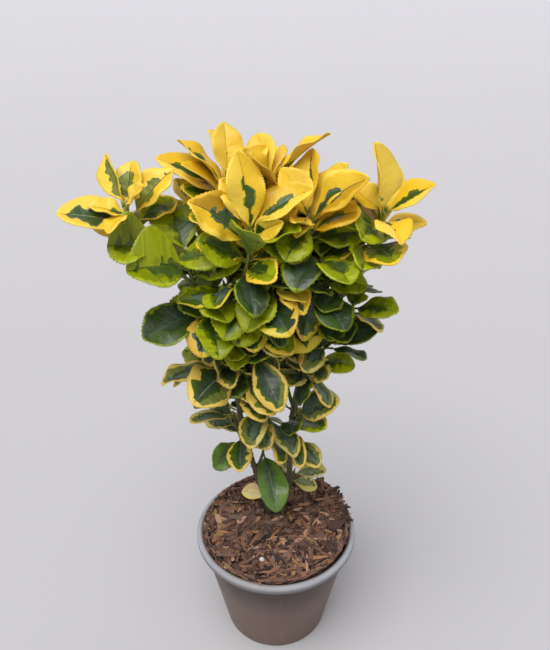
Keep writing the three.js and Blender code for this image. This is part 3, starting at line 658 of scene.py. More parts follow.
# Shoots: each mass of leaves is one shoot. A row gives the limb it leaves and how far along, its tip, the step
# between its leaf pairs, how yellow it is, a letter for each leaf's coat and its pairs from the tip down, then
# light, the side it turns to, more, how many pairs grow by rule, and sprigs, side shoots. A leaf is a compass
# turn, a climb and a length in mm, and where it has them a roll, a breadth and a fold
shootRows = {
    "crown_front": ("bough_front", 1, (-14, -16, 323), 3.8, 1, "sy gk hy lb ly ql",
        "5 34 42 20 / 160 58 34, 132 78 50 0 0.8 / 336 32 24 -30, 204 41 46 20 / 30 38 40,"
        " 335 29 38 30 / 140 45 36, 220 33 38 20 / 50 20 36, 303 10 32 / 150 0 34"),
    "crown_back_left": ("bough_back_left", 1, (-29, 18, 343), 3.6, 1, "ys sy sy yb qy by",
        "99 63 38 -20 / 118 49 38 -50, 175 46 42 -45 / 20 45 36, 185 31 49 -20 / 60 30 40,"
        " 198 39 40 -35 / 110 25 38, 211 35 36 -10 / 40 15 38", {"more": 1}),
    "crown_back_right": ("bough_back_right", 1, (-5, 14, 342), 3.8, 1, "yy ky ky yy by",
        "104 47 38 15 / 76 34 34 15, 2 44 51 60 0.75 / 190 55 32, 60 35 34 / 240 40 34,"
        " 120 25 40 / 5 37 37 20", {"more": 1}),
    "crown_right": ("bough_centre_right", 1, (19, -7, 330), 4, 0.95, "sy hy yb lb",
        "73 41 42 45 / 219 -20 20 -15, 332 41 46 / 150 50 36, 13 61 44 35 / 240 15 26, 350 10 34 / 110 30 34"),
    "tuft_right": ("bough_right", 1, (64, -5, 330), 4.2, 0.9, "sy yy kl wl ql",
        "332 36 34 10 / 170 35 28, 73 52 40 -25 / 277 -2 38 10, 122 76 50 -45 1.35 / 215 20 30,"
        " 352 21 31 15 / 170 20 34, 283 4 40 -10 / 120 10 34"),
    "tuft_far_left": ("bough_far_left", 1, (-87, -10, 334), 3, 1, "vy vy vk wq qy",
        "124 49 36 45 / 330 45 22, 90 52 34 10 / 251 -13 22 -10, 21 46 38 / 192 22 25 -30,"
        " 197 14 43 -10 1.25 / 40 20 30, 86 20 26 20 / 170 5 30"),
    "spray_left": ("bough_left", 1, (-53, -14, 308), 3.8, 0.5, "lu uu lu lu ul lm",
        "115 41 40 0 1.2 / 66 8 20 -30, 150 12 34 / 30 20 30, 210 9 38 0 1.7 35 / 120 -5 30,"
        " 333 27 32 15 / 150 -5 28, 330 22 34 20 / 110 5 28, 0 0 32 / 100 5 32"),
    "spray_left_mid": ("bough_left", 0.42, (-45, -15, 271), 3.6, 0.35, "dl el ll",
        "218 -9 42 -10 1.2 / 110 20 32, 265 -30 34 15 / 354 -15 37 30, 0 0 34 / 90 10 30"),
    "spray_left_inner": ("bough_front", 0.3, (-31, -14, 288), 4.5, 0.3, "tl tl",
        "264 -1 30 -25 / 60 20 26, 218 8 34 -15 / 20 10 28"),
    "spray_left_low": ("stem_left", 0.86, (-40, -7, 231), 6, 0.12, "nd lm nm",
        "208 -7 38 -45 / 80 20 30, 150 10 32 / 268 37 34 80, 247 4 46 15 1.3"),
    "spray_centre_low": ("stem_left", 0.72, (-15, -12, 242), 10, 0.15, "nd dd nd nd",
        "302 -35 42 0 0.88 / 120 30 28, 30 10 26 / 200 -10 28, 299 -9 36 10 / 150 0 30, 293 -1 34 35"),
    "spray_centre_mid": ("stem_left", 0.93, (-8, -14, 280), 8, 0.3, "el dl qd ed",
        "296 -11 38 -10 / 120 40 26, 298 -17 32 35 / 210 0 28, 319 -17 32 20 / 110 10 28, 358 7 47"),
    "spray_centre_right": ("bough_centre_right", 0.3, (27, -8, 302), 6, 0.4, "ll ol el dd",
        "86 32 30 / 291 1 38 20, 227 13 34 / 30 20 30, 238 -60 37 45 / 340 5 30, 130 10 30"),
    "spray_centre": ("bough_front", 0.45, (3, -13, 293), 6, 0.55, "wl yl ll",
        "326 3 30 / 200 5 24, 306 2 30 15 / 60 20 28, 240 -15 28"),
    "spray_right_top": ("bough_right", 0.3, (38, -12, 284), 5, 0.3, "ld dl",
        "290 19 30 -25 / 23 -12 30 35, 240 -5 28 / 80 20 26"),
    "spray_right_mid": ("bough_right_side", 1, (49, 1, 267), 3.2, 0.45, "ul md",
        "69 7 22 / 317 15 34 15, 312 -6 28 35 / 140 10 22"),
    "spray_right": ("stem_right", 0.9, (36, -1, 243), 5, 0.15, "dm dm",
        "323 33 36 10 / 140 20 26, 323 4 30 40 / 235 -10 28"),
    "spray_right_low": ("stem_right", 0.78, (28, 2, 227), 5, 0.2, "lm mm md",
        "339 6 26 / 140 10 24, 288 13 24 -25 / 120 5 26, 303 -29 28 40 / 248 -34 24 -45"),
    "foot_left": ("stem_left", 0.45, (-29, -4, 189), 9, 0.12, "mm mm nm pm",
        "214 15 34 -50 / 80 20 26, 150 0 28 / 320 -10 26, 272 -14 30 / 100 10 28, 236 4 34"),
    "foot_centre": ("stem_left", 0.62, (-10, -1, 190), 7, 0.15, "md md",
        "260 -10 34 -10 / 60 15 26, 300 -25 30 / 120 0 26"),
    "foot_front": ("stem_left", 0.3, (-9, 9, 149), 6, 0, "pp",
        "284 -26 46 15 0.82"),
    "foot_middle": ("stem_right", 0.5, (-6, 6, 178), 6, 0.2, "md nm",
        "303 -16 35 20 / 100 20 26, 278 -22 32 40 / 180 0 22"),
    "foot_right": ("stem_right", 0.42, (15, 5, 183), 6, 0.2, "md tm nm mm",
        "330 37 38 0 1.2 / 258 6 28 -30, 312 21 30 20 / 140 20 26, 276 -18 30 -45 / 60 10 26,"
        " 307 -13 30 / 100 0 26"),
    "foot_back": ("stem_right", 0.12, (14, 22, 118), 5, 0.5, "cc cm",
        "351 16 26 25 / 120 20 24, 347 -9 20 / 150 5 22"),
    "back_left": ("bough_back_left", 0.45, (-50, 30, 318), 5.5, 0.8, "", "", {"light": 100, "more": 5, "sprigs": 1}),
    "back_centre": ("bough_back_right", 0.6, (-14, 42, 324), 6, 0.9, "", "", {"light": 90, "more": 5}),
    "back_right": ("bough_right", 0.35, (44, 34, 312), 5.5, 0.8, "", "", {"light": 70, "more": 5, "sprigs": 1}),
    "back_mid_left": ("stem_left", 0.7, (-42, 34, 262), 8, 0.3, "", "", {"light": 110, "more": 5}),
    "back_mid_centre": ("stem_right", 0.62, (-4, 42, 258), 8, 0.3, "", "", {"light": 90, "more": 5}),
    "back_mid_right": ("stem_right", 0.76, (36, 38, 270), 7.5, 0.4, "", "", {"light": 60, "more": 5}),
    "back_low_left": ("stem_left", 0.4, (-30, 34, 190), 8, 0.15, "", "", {"light": 110, "more": 3}),
    "back_low_right": ("stem_right", 0.4, (18, 36, 200), 8, 0.15, "", "", {"light": 80, "more": 4}),
}
masses = []
for name, (limb, share, tip, step, gold, coatLetters, pairs, *extra) in shootRows.items():
    pairs = [[[float(value) for value in leaf.split()] for leaf in pair.split("/")]
             for pair in pairs.split(",") if pair]
    masses.append({"node": "foliage_" + name, "from": (limb, share), "tip": tip, "step": step, "gold": gold,
                   "coats": coatLetters.split(), "pairs": pairs, "more": 0, "sprigs": 0, "light": 270,
                   **(extra[0] if extra else {})})
shootRule = {
    "radius": (1.45, 0.95), "startReach": 0.65, "startClimb": 0.35, "tipLeaf": 2, "stepGrowth": 1.12,
    "turn": 90, "turnSway": 14, "rise": (55, -5), "riseSway": 8, "length": (32, 44), "lengthSway": 4,
    "partnerLength": 0.9, "sprigLength": 16, "sprigRise": 40, "sprigLeaf": 24, "sprigAge": 0.4,
    "sprigFoot": (0.45, 0.7), "sprigClimb": (10, 50), "sprigPairs": (0.9, 0.55),
    "tries": 9, "trySway": 9, "tryNod": 6.3, "near": 0.12,
    "axisSeed": 1000, "sprigAxisSeed": 5000, "leafSeed": 100000, "seedStep": 1000, "sprigSeed": 500,
}
leafForm = {
    "width": 0.27, "stalk": 0.13, "goldFolds": 0.7, "greenFold": 0.3, "fold": (10, 26), "arch": (10, 40),
    "tilt": 10, "lightRise": 35, "lightShare": 0.8, "lightMost": 75,
}


def shootPoint(start, tip, share):
    reach, climb = shootRule["startReach"], shootRule["startClimb"]
    bend = Vector((between(start.x, tip.x, reach), between(start.y, tip.y, reach), between(start.z, tip.z, climb)))
    return start * (1 - share) ** 2 + bend * 2 * share * (1 - share) + tip * share ** 2


# The leaves that a shoot asks for, pair by pair from its tip down
def askedLeaves(mass, index, start, tip):
    draw = Draws(shootRule["axisSeed"] + index)
    span = lengthOf([shootPoint(start, tip, i / 200) for i in range(201)])
    distance, step, heading, asked = shootRule["tipLeaf"], mass["step"], 360 * draw(), []
    count = len(mass["pairs"]) + mass["more"]
    for pair in range(count):
        if distance >= span - 2:
            break
        listed = mass["pairs"][pair] if pair < len(mass["pairs"]) else []
        down = pair / max(count - 1, 1)
        heading += shootRule["turn"] + draw.sway(shootRule["turnSway"])
        rise = between(*shootRule["rise"], down) + draw.sway(shootRule["riseSway"])
        length = between(*shootRule["length"], min(1, 2 * down)) + draw.sway(shootRule["lengthSway"])
        leaves = listed or [(heading, rise, length)]
        heading = leaves[0][0]
        if len(leaves) < 2:
            opposite = heading + 180 + draw.sway(shootRule["turnSway"])
            leaves = [leaves[0], (opposite, rise, length * shootRule["partnerLength"])]
        for side, leaf in enumerate(leaves):
            turn, climb, reach, roll, breadth, bent = (*leaf, *(0, 1, None)[len(leaf) - 3:])
            seed = shootRule["leafSeed"] + index * shootRule["seedStep"] + pair * 10 + side
            asked.append({"root": shootPoint(start, tip, 1 - distance / span), "turn": turn, "climb": climb,
                          "length": reach, "roll": roll, "down": down, "seed": seed, "pair": pair,
                          "side": side, "breadth": breadth, "bent": bent, "listed": bool(listed)})
        distance += step
        step *= shootRule["stepGrowth"]
    return asked


# Short side shoots, each with two pairs of small leaves
def sprigsOf(mass, index, start, tip):
    draw = Draws(shootRule["sprigAxisSeed"] + index)
    seed = shootRule["leafSeed"] + index * shootRule["seedStep"] + shootRule["sprigSeed"]
    sprigs = []
    for i in range(mass["sprigs"]):
        foot = shootPoint(start, tip, draw(*shootRule["sprigFoot"]))
        turn = 360 * draw()
        end = foot + towards(math.radians(turn), math.radians(shootRule["sprigRise"])) * shootRule["sprigLength"]
        leaves = []
        for k in range(4):
            climb, reach = draw(*shootRule["sprigClimb"]), shootRule["sprigLeaf"] * draw(0.8, 1.2)
            leaves.append({"root": shootPoint(foot, end, shootRule["sprigPairs"][k // 2]),
                           "turn": turn + (90 if k < 2 else 180) + 180 * (k % 2), "climb": climb, "length": reach,
                           "roll": 0, "down": shootRule["sprigAge"], "seed": seed + i * 10 + k, "pair": 9,
                           "side": k % 2})
        sprigs.append((foot, end, leaves))
    return sprigs


# A leaf's directions: ahead along it, across it, up from the ground's side and out of its face
def leafAxes(heading, rise, tilt, light):
    turn = math.radians(heading)
    side, ahead = Vector((math.sin(turn), -math.cos(turn), 0)), towards(turn, math.radians(rise))
    up = side.cross(ahead)
    ray = towards(math.radians(light), math.radians(leafForm["lightRise"]))
    most = math.radians(leafForm["lightMost"])
    strength = math.hypot(ray.dot(side), ray.dot(up))
    roll = math.atan2(-ray.dot(side), ray.dot(up)) * leafForm["lightShare"] * strength
    roll = math.radians(tilt) + within(roll, -most, most)
    across = side * math.cos(roll) + up * math.sin(roll)
    return {"ahead": ahead, "up": up, "across": across, "face": across.cross(ahead)}


# A leaf's fold, arch and turn at each of its tries
def leafTries(leaf, light, young):
    draw = Draws(leaf["seed"])
    fold = between(*leafForm["fold"], young) * draw(0.7, 1.3)
    arch = draw(*leafForm["arch"])
    tilt = draw.sway(leafForm["tilt"]) + leaf["roll"]
    for attempt in range(shootRule["tries"]):
        sway = draw.sway(shootRule["trySway"]) * attempt if attempt else 0
        nod = draw.sway(shootRule["tryNod"]) * attempt if attempt else 0
        yield {**leaf, **leafAxes(leaf["turn"] + sway, leaf["climb"] + nod, tilt, light), "fold": fold,
               "arch": arch, "young": young}


def midribPoint(leaf, share):
    hump = leaf["length"] * math.tan(math.radians(leaf["arch"] / 4)) * 2 * share * (1 - share)
    return leaf["root"] + leaf["ahead"] * share * leaf["length"] + leaf["up"] * hump


def coarsePoint(leaf, share, side):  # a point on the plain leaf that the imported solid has
    along = (share - leafForm["stalk"]) / (1 - leafForm["stalk"]) if share < 1 else 0.99
    width = math.sin(math.pi * along ** 1.15) ** 0.8 * leafForm["width"] * leaf["length"]
    return (midribPoint(leaf, share) + leaf["across"] * side * width
            + leaf["face"] * abs(side) * width * math.tan(math.radians(leaf["fold"])))


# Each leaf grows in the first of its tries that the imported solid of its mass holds
def grownLeaf(leaf, mass, solid):
    young = (1 - leaf["down"]) * (1 if mass["gold"] > leafForm["goldFolds"] else leafForm["greenFold"])
    for shape in leafTries(leaf, mass["light"], young):
        points = (shape["root"] + shape["ahead"] * shape["length"], coarsePoint(shape, 0.5, 1),
                  coarsePoint(shape, 0.5, -1))
        tip, left, right = (solid.find_nearest(point * mm)[3] / mm for point in points)
        if tip < shootRule["near"] and min(left, right) < shootRule["near"]:
            return shape
    return None


def growShoots():
    shoots, asked, grown = [], 0, 0
    for index, mass in enumerate(masses):
        start, tip = limbPoint(*mass["from"]), Vector(mass["tip"])
        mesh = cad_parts[mass["node"]].data
        solid = BVHTree.FromPolygons([vert.co for vert in mesh.vertices], [face.vertices for face in mesh.polygons])
        sprigs = sprigsOf(mass, index, start, tip)
        leaves = askedLeaves(mass, index, start, tip) + [leaf for sprig in sprigs for leaf in sprig[2]]
        kept = [shape for shape in (grownLeaf(leaf, mass, solid) for leaf in leaves) if shape]
        asked += len(leaves)
        grown += len(kept)
        shoots.append({"mass": mass, "start": start, "tip": tip, "leaves": kept,
                       "axes": [(start, tip)] + [sprig[:2] for sprig in sprigs]})
    print("shoots grown:", len(shoots), "with", grown, "of", asked, "leaves")
    return shoots


shoots = growShoots()

# Leaf tints. A tint's underside is a paler one
tints = {
    # bright is the leaf gold painted lit; ochre and deep are it painted in shade, and deep is also the midrib's own
    # gold in coat y
    "bright": (246, 211, 74), "gold": (238, 195, 46), "pale": (250, 224, 112), "deep": (224, 178, 38),
    "ochre": (192, 148, 22), "moss": (136, 132, 14), "margin": (224, 192, 88), "straw": (206, 190, 104),
    "cream": (232, 218, 150), "lime": (160, 170, 12), "limeDeep": (134, 146, 8), "olive": (104, 117, 12),
    # blueGreen and slate are the leaves' own grey-green, made bluer and lighter by a painted sheen of the sky on dark
    # leaves
    "oliveDark": (76, 98, 18), "leaf": (58, 84, 24), "forest": (44, 64, 26), "blueGreen": (58, 76, 54),
    "slate": (96, 114, 92), "meadow": (96, 126, 48), "meadowMid": (82, 108, 50), "meadowDark": (68, 90, 54),
    "rust": (84, 52, 24), "vein": (140, 160, 112), "mustard": (206, 186, 44), "amber": (210, 170, 58),
    "fawn": (226, 190, 138), "sage": (118, 126, 56), "fern": (128, 136, 44), "greyGreen": (136, 148, 102),
}
# How the colours lie on a leaf: blade and rim tint of each half, patch, fringe and rib tints, and coatMeasures.
# wide is the patch's half-width, fringe and rim where these end and start, as shares of the leaf's half-width.
# from and to are where the patch lies along the leaf, ragged how jagged it is, and closes where the rim meets
# round the tip
coatMeasures = ("wide", "fringe", "rim", "from", "to", "ragged", "closes")
coats = {
    # In the gold coats one half takes gold and the other bright, painted shade and light across the fold; h puts ochre
    # and deep on one half, and o paints a whole gold leaf in shade
    "y": ("gold bright gold bright leaf limeDeep deep", 0.14, 0.1, 0.74, -0.2, 0.42, 1.2, 0.97),
    "g": ("gold bright gold bright leaf limeDeep olive", 0.24, 0.1, 0.8, -0.3, 0.66, 1.4, 0.98),
    "k": ("bright gold bright bright leaf limeDeep olive", 0.5, 0.14, 0.8, -0.3, 0.5, 1.0, 0.98),
    "q": ("lime limeDeep bright gold leaf oliveDark lime", 0.4, 0.12, 0.8, -0.1, 0.85, 1.0, 0.94),
    "t": ("oliveDark olive mustard lime slate leaf vein", 0.4, 0.16, 0.74, -0.1, 0.9, 0.9, 0.94),
    "f": ("fawn cream fawn pale cream cream fawn", 0.3, 0.2, 0.8, -0.1, 0.9, 1.0, 0.95),
    "s": ("gold bright gold bright leaf olive leaf", 0.2, 0.12, 0.74, -0.1, 0.84, 0.9, 0.95),
    "b": ("gold bright gold bright leaf olive olive", 0.32, 0.13, 0.76, -0.1, 0.82, 1.3, 0.95),
    "h": ("ochre gold deep bright leaf slate slate", 0.32, 0.14, 0.78, -0.1, 0.8, 0.9, 0.95),
    "o": ("ochre deep deep gold oliveDark moss moss", 0.26, 0.14, 0.78, -0.1, 0.7, 0.9, 0.96),
    "w": ("gold bright bright bright leaf slate vein", 0.46, 0.1, 0.86, -0.1, 0.9, 1.1, 0.93),
    "n": ("sage oliveDark margin margin blueGreen leaf vein", 0.5, 0.12, 0.74, -0.1, 0.96, 0.8, 0.93),
    "m": ("sage sage margin straw slate blueGreen vein", 0.42, 0.2, 0.78, -0.1, 0.9, 0.8, 0.945),
    "d": ("forest leaf olive limeDeep blueGreen forest slate", 0.45, 0.2, 0.92, -0.1, 0.9, 0.6, 0.965),
    "l": ("lime limeDeep lime lime leaf olive olive", 0.33, 0.2, 0.88, -0.1, 0.8, 1.1, 0.97),
    "p": ("meadow meadow meadow meadow meadowDark meadowMid vein", 0.26, 0.26, 0.93, -0.1, 0.95, 0.4, 0.98),
    "c": ("straw sage straw cream greyGreen sage straw", 0.55, 0.12, 0.76, -0.2, 0.95, 0.6, 0.92),
    "e": ("forest oliveDark amber mustard blueGreen forest slate", 0.45, 0.2, 0.68, -0.1, 0.86, 0.9, 0.9),
    "u": ("lime limeDeep lime lime oliveDark olive olive", 0.3, 0.2, 0.88, -0.1, 0.72, 1.1, 0.97),
    "v": ("gold bright bright bright fern sage leaf", 0.36, 0.18, 0.82, -0.2, 0.86, 1.1, 0.95),
}
for letter, (words, *measures) in coats.items():
    words = words.split()
    coats[letter] = {"blades": words[:2], "rims": words[2:4], **dict(zip(("patch", "soft", "rib"), words[4:])),
                     **dict(zip(coatMeasures, measures))}
goldCoats = "ysbhgkwv"
coatsByGold = [(0.7, "ybsbohyyb"), (0.35, "lqlmlodld"), (0.1, "mddmdldm"), (-1, "pdm")]
coatsBelowCrown = "lolmdol"
blade = {
    "rows": 28, "backRows": 13, "foot": 0.10, "strips": 9, "widthSway": (0.93, 1.1),
    "broad": {"l": 1.16, "u": 1.18, "e": 1.16, "n": 0.96, "t": 1.1, "q": 1.12, "d": 1.08, "m": 0.98},
    "round": {"gold": 0.82, "green": 0.68, "p": 0.58, "u": 0.56, "e": 0.6},
    "belly": {"gold": (1.0, 1.2), "green": (1.1, 1.3)},
    "rib": 0.03, "thick": 0.5, "narrowest": 0.45, "skew": 0.13, "finger": 0.09, "tooth": (0.5, 1.1),
    "wave": (0.012, 0.04), "waves": (1.6, 2.8), "curl": (-0.02, 0.16), "twist": 14, "nod": (0.0, 0.4),
    "nodFrom": 0.55, "crease": 0.3, "petiole": (0.85, 0.55), "mottle": 0.9, "islands": 1.6,
    "rimGrowth": (0.45, 1.35), "paleUnders": ((236, 200, 84), (138, 158, 84)), "underShare": 0.6,
    "coatWeights": [(180, 0.06), (90, 0.1), (-1, 0.18)], "topRough": (0.28, 0.45), "underRough": (0.62, 0.75),
    "relief": 0.00042, "veins": 8.5, "veinSlant": 0.26, "spots": 0.3, "spotCount": 4, "spotSize": 0.75,
    "toothFoot": 0.2, "toothLean": 0.25, "lean": 0.75, "rimLean": 0.55, "roughness": 1.3,
    "patchNoise": (9, 7.3, 0), "rimNoise": (11, 5.1, 31), "dabNoise": (15, 3.7, 61),
}


def leafFinish(name, tint, under):
    weight = next(weight for least, weight in blade["coatWeights"] if tint[0] > least)
    skin = Finish(name, {"Base Color": screen(*tint), "Coat Weight": 0.0 if under else weight,
                         "Coat Roughness": 0.22, "Specular IOR Level": 0.3 if tint[0] > 90 else 0.5})
    where = skin.node("ShaderNodeTexCoord", output="UV")
    across, along = abs(skin.along(0, where) - 0.5) * 2, skin.along(1, where)
    midrib = skin.ramp(across, 0.0, 0.09, 1, 0)
    branch = skin.maths("FRACT", (along - across * blade["veinSlant"]) * blade["veins"], 0)
    vein = skin.ramp(abs(branch - 0.5), 0.0, 0.3, 1, 0) * skin.ramp(across, 0.95, 0.5)
    quilt = skin.grain(170, 2, 0.5) + skin.grain(480, 2, 0.6) * 0.35
    height = quilt * 0.8 + skin.grain(1500, 2, 0.6) * 0.12 + (midrib * 0.7 + vein * 0.22) * (1 if under else -1)
    rough = blade["underRough" if under else "topRough"]
    skin.feed({"Roughness": skin.ramp(quilt, 0.4, 0.95, *rough), "Normal": skin.relief(height, blade["relief"])})
    return skin.material


# Tops, then tops a shade deeper, then the undersides of both
def leafMaterials():
    tops, deeper, unders = [], [], []
    for name, tint in tints.items():
        tops.append(leafFinish(name + " leaf", tint, False))
        deeper.append(leafFinish("deeper " + name + " leaf", [part * blade["mottle"] for part in tint], False))
        paler = zip(tint, blade["paleUnders"][0 if tint[0] > 180 else 1])
        unders.append(leafFinish(name + " underside", [between(a, b, blade["underShare"]) for a, b in paler], True))
    return tops + deeper + unders + unders


# Where the colours of a leaf part, for each row and side: patch edge, fringe edge and rim edge
def colourEdges(look, draw, shares):
    shade, ragged = draw(0, 90), look["ragged"]

    def rough(kind):  # noise at the row and side in turn
        scale, skew, shift = blade[kind]
        return noise.noise(Vector((share * scale, side * skew, shade + shift)))
    lean, rimLean = draw.sway(blade["lean"]) * min(ragged, 1), draw.sway(blade["rimLean"])
    start = look["from"] + draw(-0.05, 0.2) * ragged
    end = min(look["to"] + draw(-0.2, 0.1), 0.97)
    edges = {}
    for side in (-1, 1):
        for row, share in enumerate(shares):
            along = (share - start) / (end - start)
            swell = math.sin(math.pi * along ** 0.75) ** 0.55 if 0 < along < 1 else 0
            patch = look["wide"] * (1 + side * lean) * swell
            patch *= 1 + blade["roughness"] * ragged * rough("patchNoise")
            patch += blade["finger"] * ragged * swell * (row % 2) * draw()
            if 0.7 < along and look["wide"] < 0.4:
                patch = max(patch, look["wide"] * blade["islands"] * (rough("dabNoise") - 0.18))
            rimWidth = (1 - look["rim"]) * (1 + side * rimLean) * (1 + blade["roughness"] * rough("rimNoise"))
            rimWidth = (rimWidth + 0.05 * draw() * (row % 2)) * between(*blade["rimGrowth"], share)
            rim = within(1 - rimWidth, 0.4, 0.95)
            patch = within(patch, 0, rim - 0.1)
            edges[row, side] = (patch, patch + look["fringe"] * (0.6 + draw(0, 0.8)), rim)
    return edges


def bladeBends(leaf, draw):
    bends = {"wave": draw(*blade["wave"]), "phase": 6.3 * draw(), "waves": draw(*blade["waves"])}
    bends["curl"] = draw(*blade["curl"]) * (1.3 - leaf["young"])
    bends["twist"] = math.radians(draw.sway(blade["twist"]))
    return {**bends, "nod": draw(*blade["nod"]) * (1 - leaf["young"])}


def bladeWidth(leaf, share):
    along = max(0, (share - leafForm["stalk"]) / (1 - leafForm["stalk"]))
    width = math.sin(math.pi * min(along, 1) ** leaf["belly"]) ** leaf["round"] if 0 < along < 1 else 0
    return max(width * leaf["half"] * leaf["length"], blade["narrowest"] if share < 0.9 else 0)


def bladePoint(leaf, bends, side, out, share):  # out is the share of the way from the midrib to the edge
    length, width = leaf["length"], bladeWidth(leaf, share)
    sideways = side * out * width
    lift = abs(sideways) * math.tan(math.radians(leaf.get("bent") or leaf["fold"])) * (0.75 + 0.25 * out)
    lift -= bends["curl"] * width * out ** 3
    lift += bends["wave"] * length * out ** 2 * math.sin(6.28 * bends["waves"] * share + bends["phase"] + side)
    lift -= blade["crease"] * bell(out, 0.12)
    lift -= bends["nod"] * length * max(0, share - blade["nodFrom"]) ** 2
    turn = bends["twist"] * (share - 0.5)
    across = leaf["across"] * math.cos(turn) + leaf["face"] * math.sin(turn)
    return midribPoint(leaf, share) + across * sideways + leaf["face"] * lift


def tintOf(look, halves, out, share, patch):  # out counts the strips from the midrib
    if out == 4 or share > look["closes"]:
        return halves[1]
    part, least = (("rib", 0.05), ("patch", 0.07), ("soft", 0.1), ("", 1))[out]
    return look[part] if patch > least or not out and look["wide"] > 0.3 else halves[0]


# A leaf's blade: a grid drawn to the leaf's outline, whose columns run along the borders of its colours
def addBlade(whole, leaf, coat):
    draw = Draws(leaf["seed"] + 77)
    kind, look, names = "gold" if coat in goldCoats else "green", coats[coat], list(tints)
    leaf["belly"], leaf["round"] = draw(*blade["belly"][kind]), blade["round"].get(coat, blade["round"][kind])
    leaf["half"] = leafForm["width"] * draw(*blade["widthSway"]) * blade["broad"].get(coat, 1) * leaf.get("breadth", 1)
    bends = bladeBends(leaf, draw)
    strips, rows = blade["strips"], blade["rows" if leaf.get("listed") else "backRows"]
    shares = [between(blade["foot"], 1, i / rows) for i in range(rows + 1)]
    edges = colourEdges(look, draw, shares)
    # Each half takes its own blade and rim tint, the halves swapped at random; in the gold coats this paints one half
    # shaded and the other lit
    halves = list(zip(look["blades"], look["rims"]))[::-1 if draw() < 0.5 else 1]
    bm = bmesh.new()
    lay = bm.loops.layers.uv.new("leaf")
    bmesh.ops.create_grid(bm, x_segments=strips, y_segments=rows, size=1)
    place = {vert: (round((vert.co.x + 1) / 2 * strips), round((vert.co.y + 1) / 2 * rows)) for vert in bm.verts}
    for vert, (column, row) in place.items():
        side = -1 if column < 5 else 1
        patch, fringe, rim = edges[row, side]
        patch = max(patch, blade["rib"] + 0.04)
        fringe = max(fringe, patch + 0.04)
        out = (blade["rib"], patch, fringe, max(rim, fringe + 0.04), 1)[column - 5 if column > 4 else 4 - column]
        share = shares[row] + blade["skew"] * out * (1 - shares[row]) * shares[row]
        vert.co = bladePoint(leaf, bends, side, out, share)
    plain = []
    for face in bm.faces:
        strip, row = (min(place[vert][axis] for vert in face.verts) for axis in (0, 1))
        half = int(strip > 3)
        patch = (edges[row, 2 * half - 1][0] + edges[row + 1, 2 * half - 1][0]) / 2
        tint = tintOf(look, halves[half], abs(strip - 4), (shares[row] + shares[row + 1]) / 2, patch)
        cloud = noise.noise(Vector((strip * 0.6, shares[row] * 12, leaf["seed"] % 97)))
        face.material_index = names.index(tint) + (len(names) if cloud > 0.05 and tints[tint][0] < 170 else 0)
        face.smooth = True
        if abs(strip - 4) in (2, 3) and 0.25 < shares[row] < 0.9:
            plain.append(face)
        for loop in face.loops:
            loop[lay].uv = (place[loop.vert][0] / strips, shares[place[loop.vert][1]])
    ends = [vert for vert in bm.verts if place[vert][1] == rows]
    bmesh.ops.pointmerge(bm, verts=ends, merge_co=sum((vert.co for vert in ends), Vector()) / len(ends))
    addTeeth(bm, leaf, draw)
    spots = [draw.pick(plain) for _ in range(blade["spotCount"]) if draw() < blade["spots"]]
    for face in dict.fromkeys(face for face in spots if face.is_valid and face.calc_area() > 2):
        bmesh.ops.inset_individual(bm, faces=[face], thickness=blade["spotSize"] * 0.5, use_even_offset=True)
        centre = face.calc_center_median()
        for vert in face.verts:
            vert.co = centre + (vert.co - centre).normalized() * blade["spotSize"] * draw(0.3, 0.8)
        face.material_index = names.index("rust")
    join(whole, bm)


def addTeeth(bm, leaf, draw):
    foot = blade["toothFoot"] * leaf["length"]
    sides = [edge for edge in bm.edges if edge.is_boundary
             and min(leaf["ahead"].dot(vert.co - leaf["root"]) for vert in edge.verts) > foot]
    for vert in vertsOf(bmesh.ops.subdivide_edges(bm, edges=sides, cuts=1)["geom_inner"]):
        side = 1 if leaf["across"].dot(vert.co - leaf["root"]) > 0 else -1
        vert.co += leaf["across"] * side * draw(*blade["tooth"]) + leaf["ahead"] * blade["toothLean"]


def coatOf(mass, leaf):
    if "coat" in leaf:
        return leaf["coat"]
    if leaf["pair"] < len(mass["coats"]):
        return mass["coats"][leaf["pair"]][leaf["side"]]
    letters = next(letters for gold, letters in coatsByGold if mass["gold"] > gold)
    if mass["gold"] > 0.7 and leaf["down"] > (0.6 if mass["gold"] > 0.85 else 0.35):
        letters = coatsBelowCrown
    return Draws(leaf["seed"] + 5).pick(letters)


# The crown's outline and the open windows in it as they show from the camera, measured in mm on an upright
# plane through the stems: height, left edge and right edge, and left, foot, right and top of each window
crown = {
    "plane": -5, "slack": 2,
    "outline": [(385, -28, -27), (373, -38, -8), (366, -51, 26), (360, -68, 36), (353, -98, 71), (347, -99, 89),
                (340, -112, 89), (333, -119, 74), (318, -102, 74), (311, -99, 75), (304, -95, 73), (296, -91, 70),
                (288, -88, 48), (283, -65, 59), (272, -62, 53), (264, -78, 72), (256, -86, 65), (247, -88, 56),
                (239, -53, 41), (230, -50, 50), (221, -73, 45), (211, -57, 33), (202, -56, 36), (192, -48, 40),
                (183, -29, 37), (173, -29, 27), (162, -41, 30), (141, -31, 33), (132, -19, 17)],
    "windows": [(-73, 302, -55, 322), (-74, 279, -51, 286), (-55, 236, -49, 256), (-54, 184, -27, 190),
                (-68, 330, -54, 345), (-65, 284, -52, 290), (-40, 286, -30, 291), (-34, 266, -28, 274),
                (33, 259, 43, 272), (36, 284, 49, 295), (16, 199, 27, 213), (-16, 156, -6, 169),
                (29, 203, 46, 219), (26, 233, 44, 241)],
}
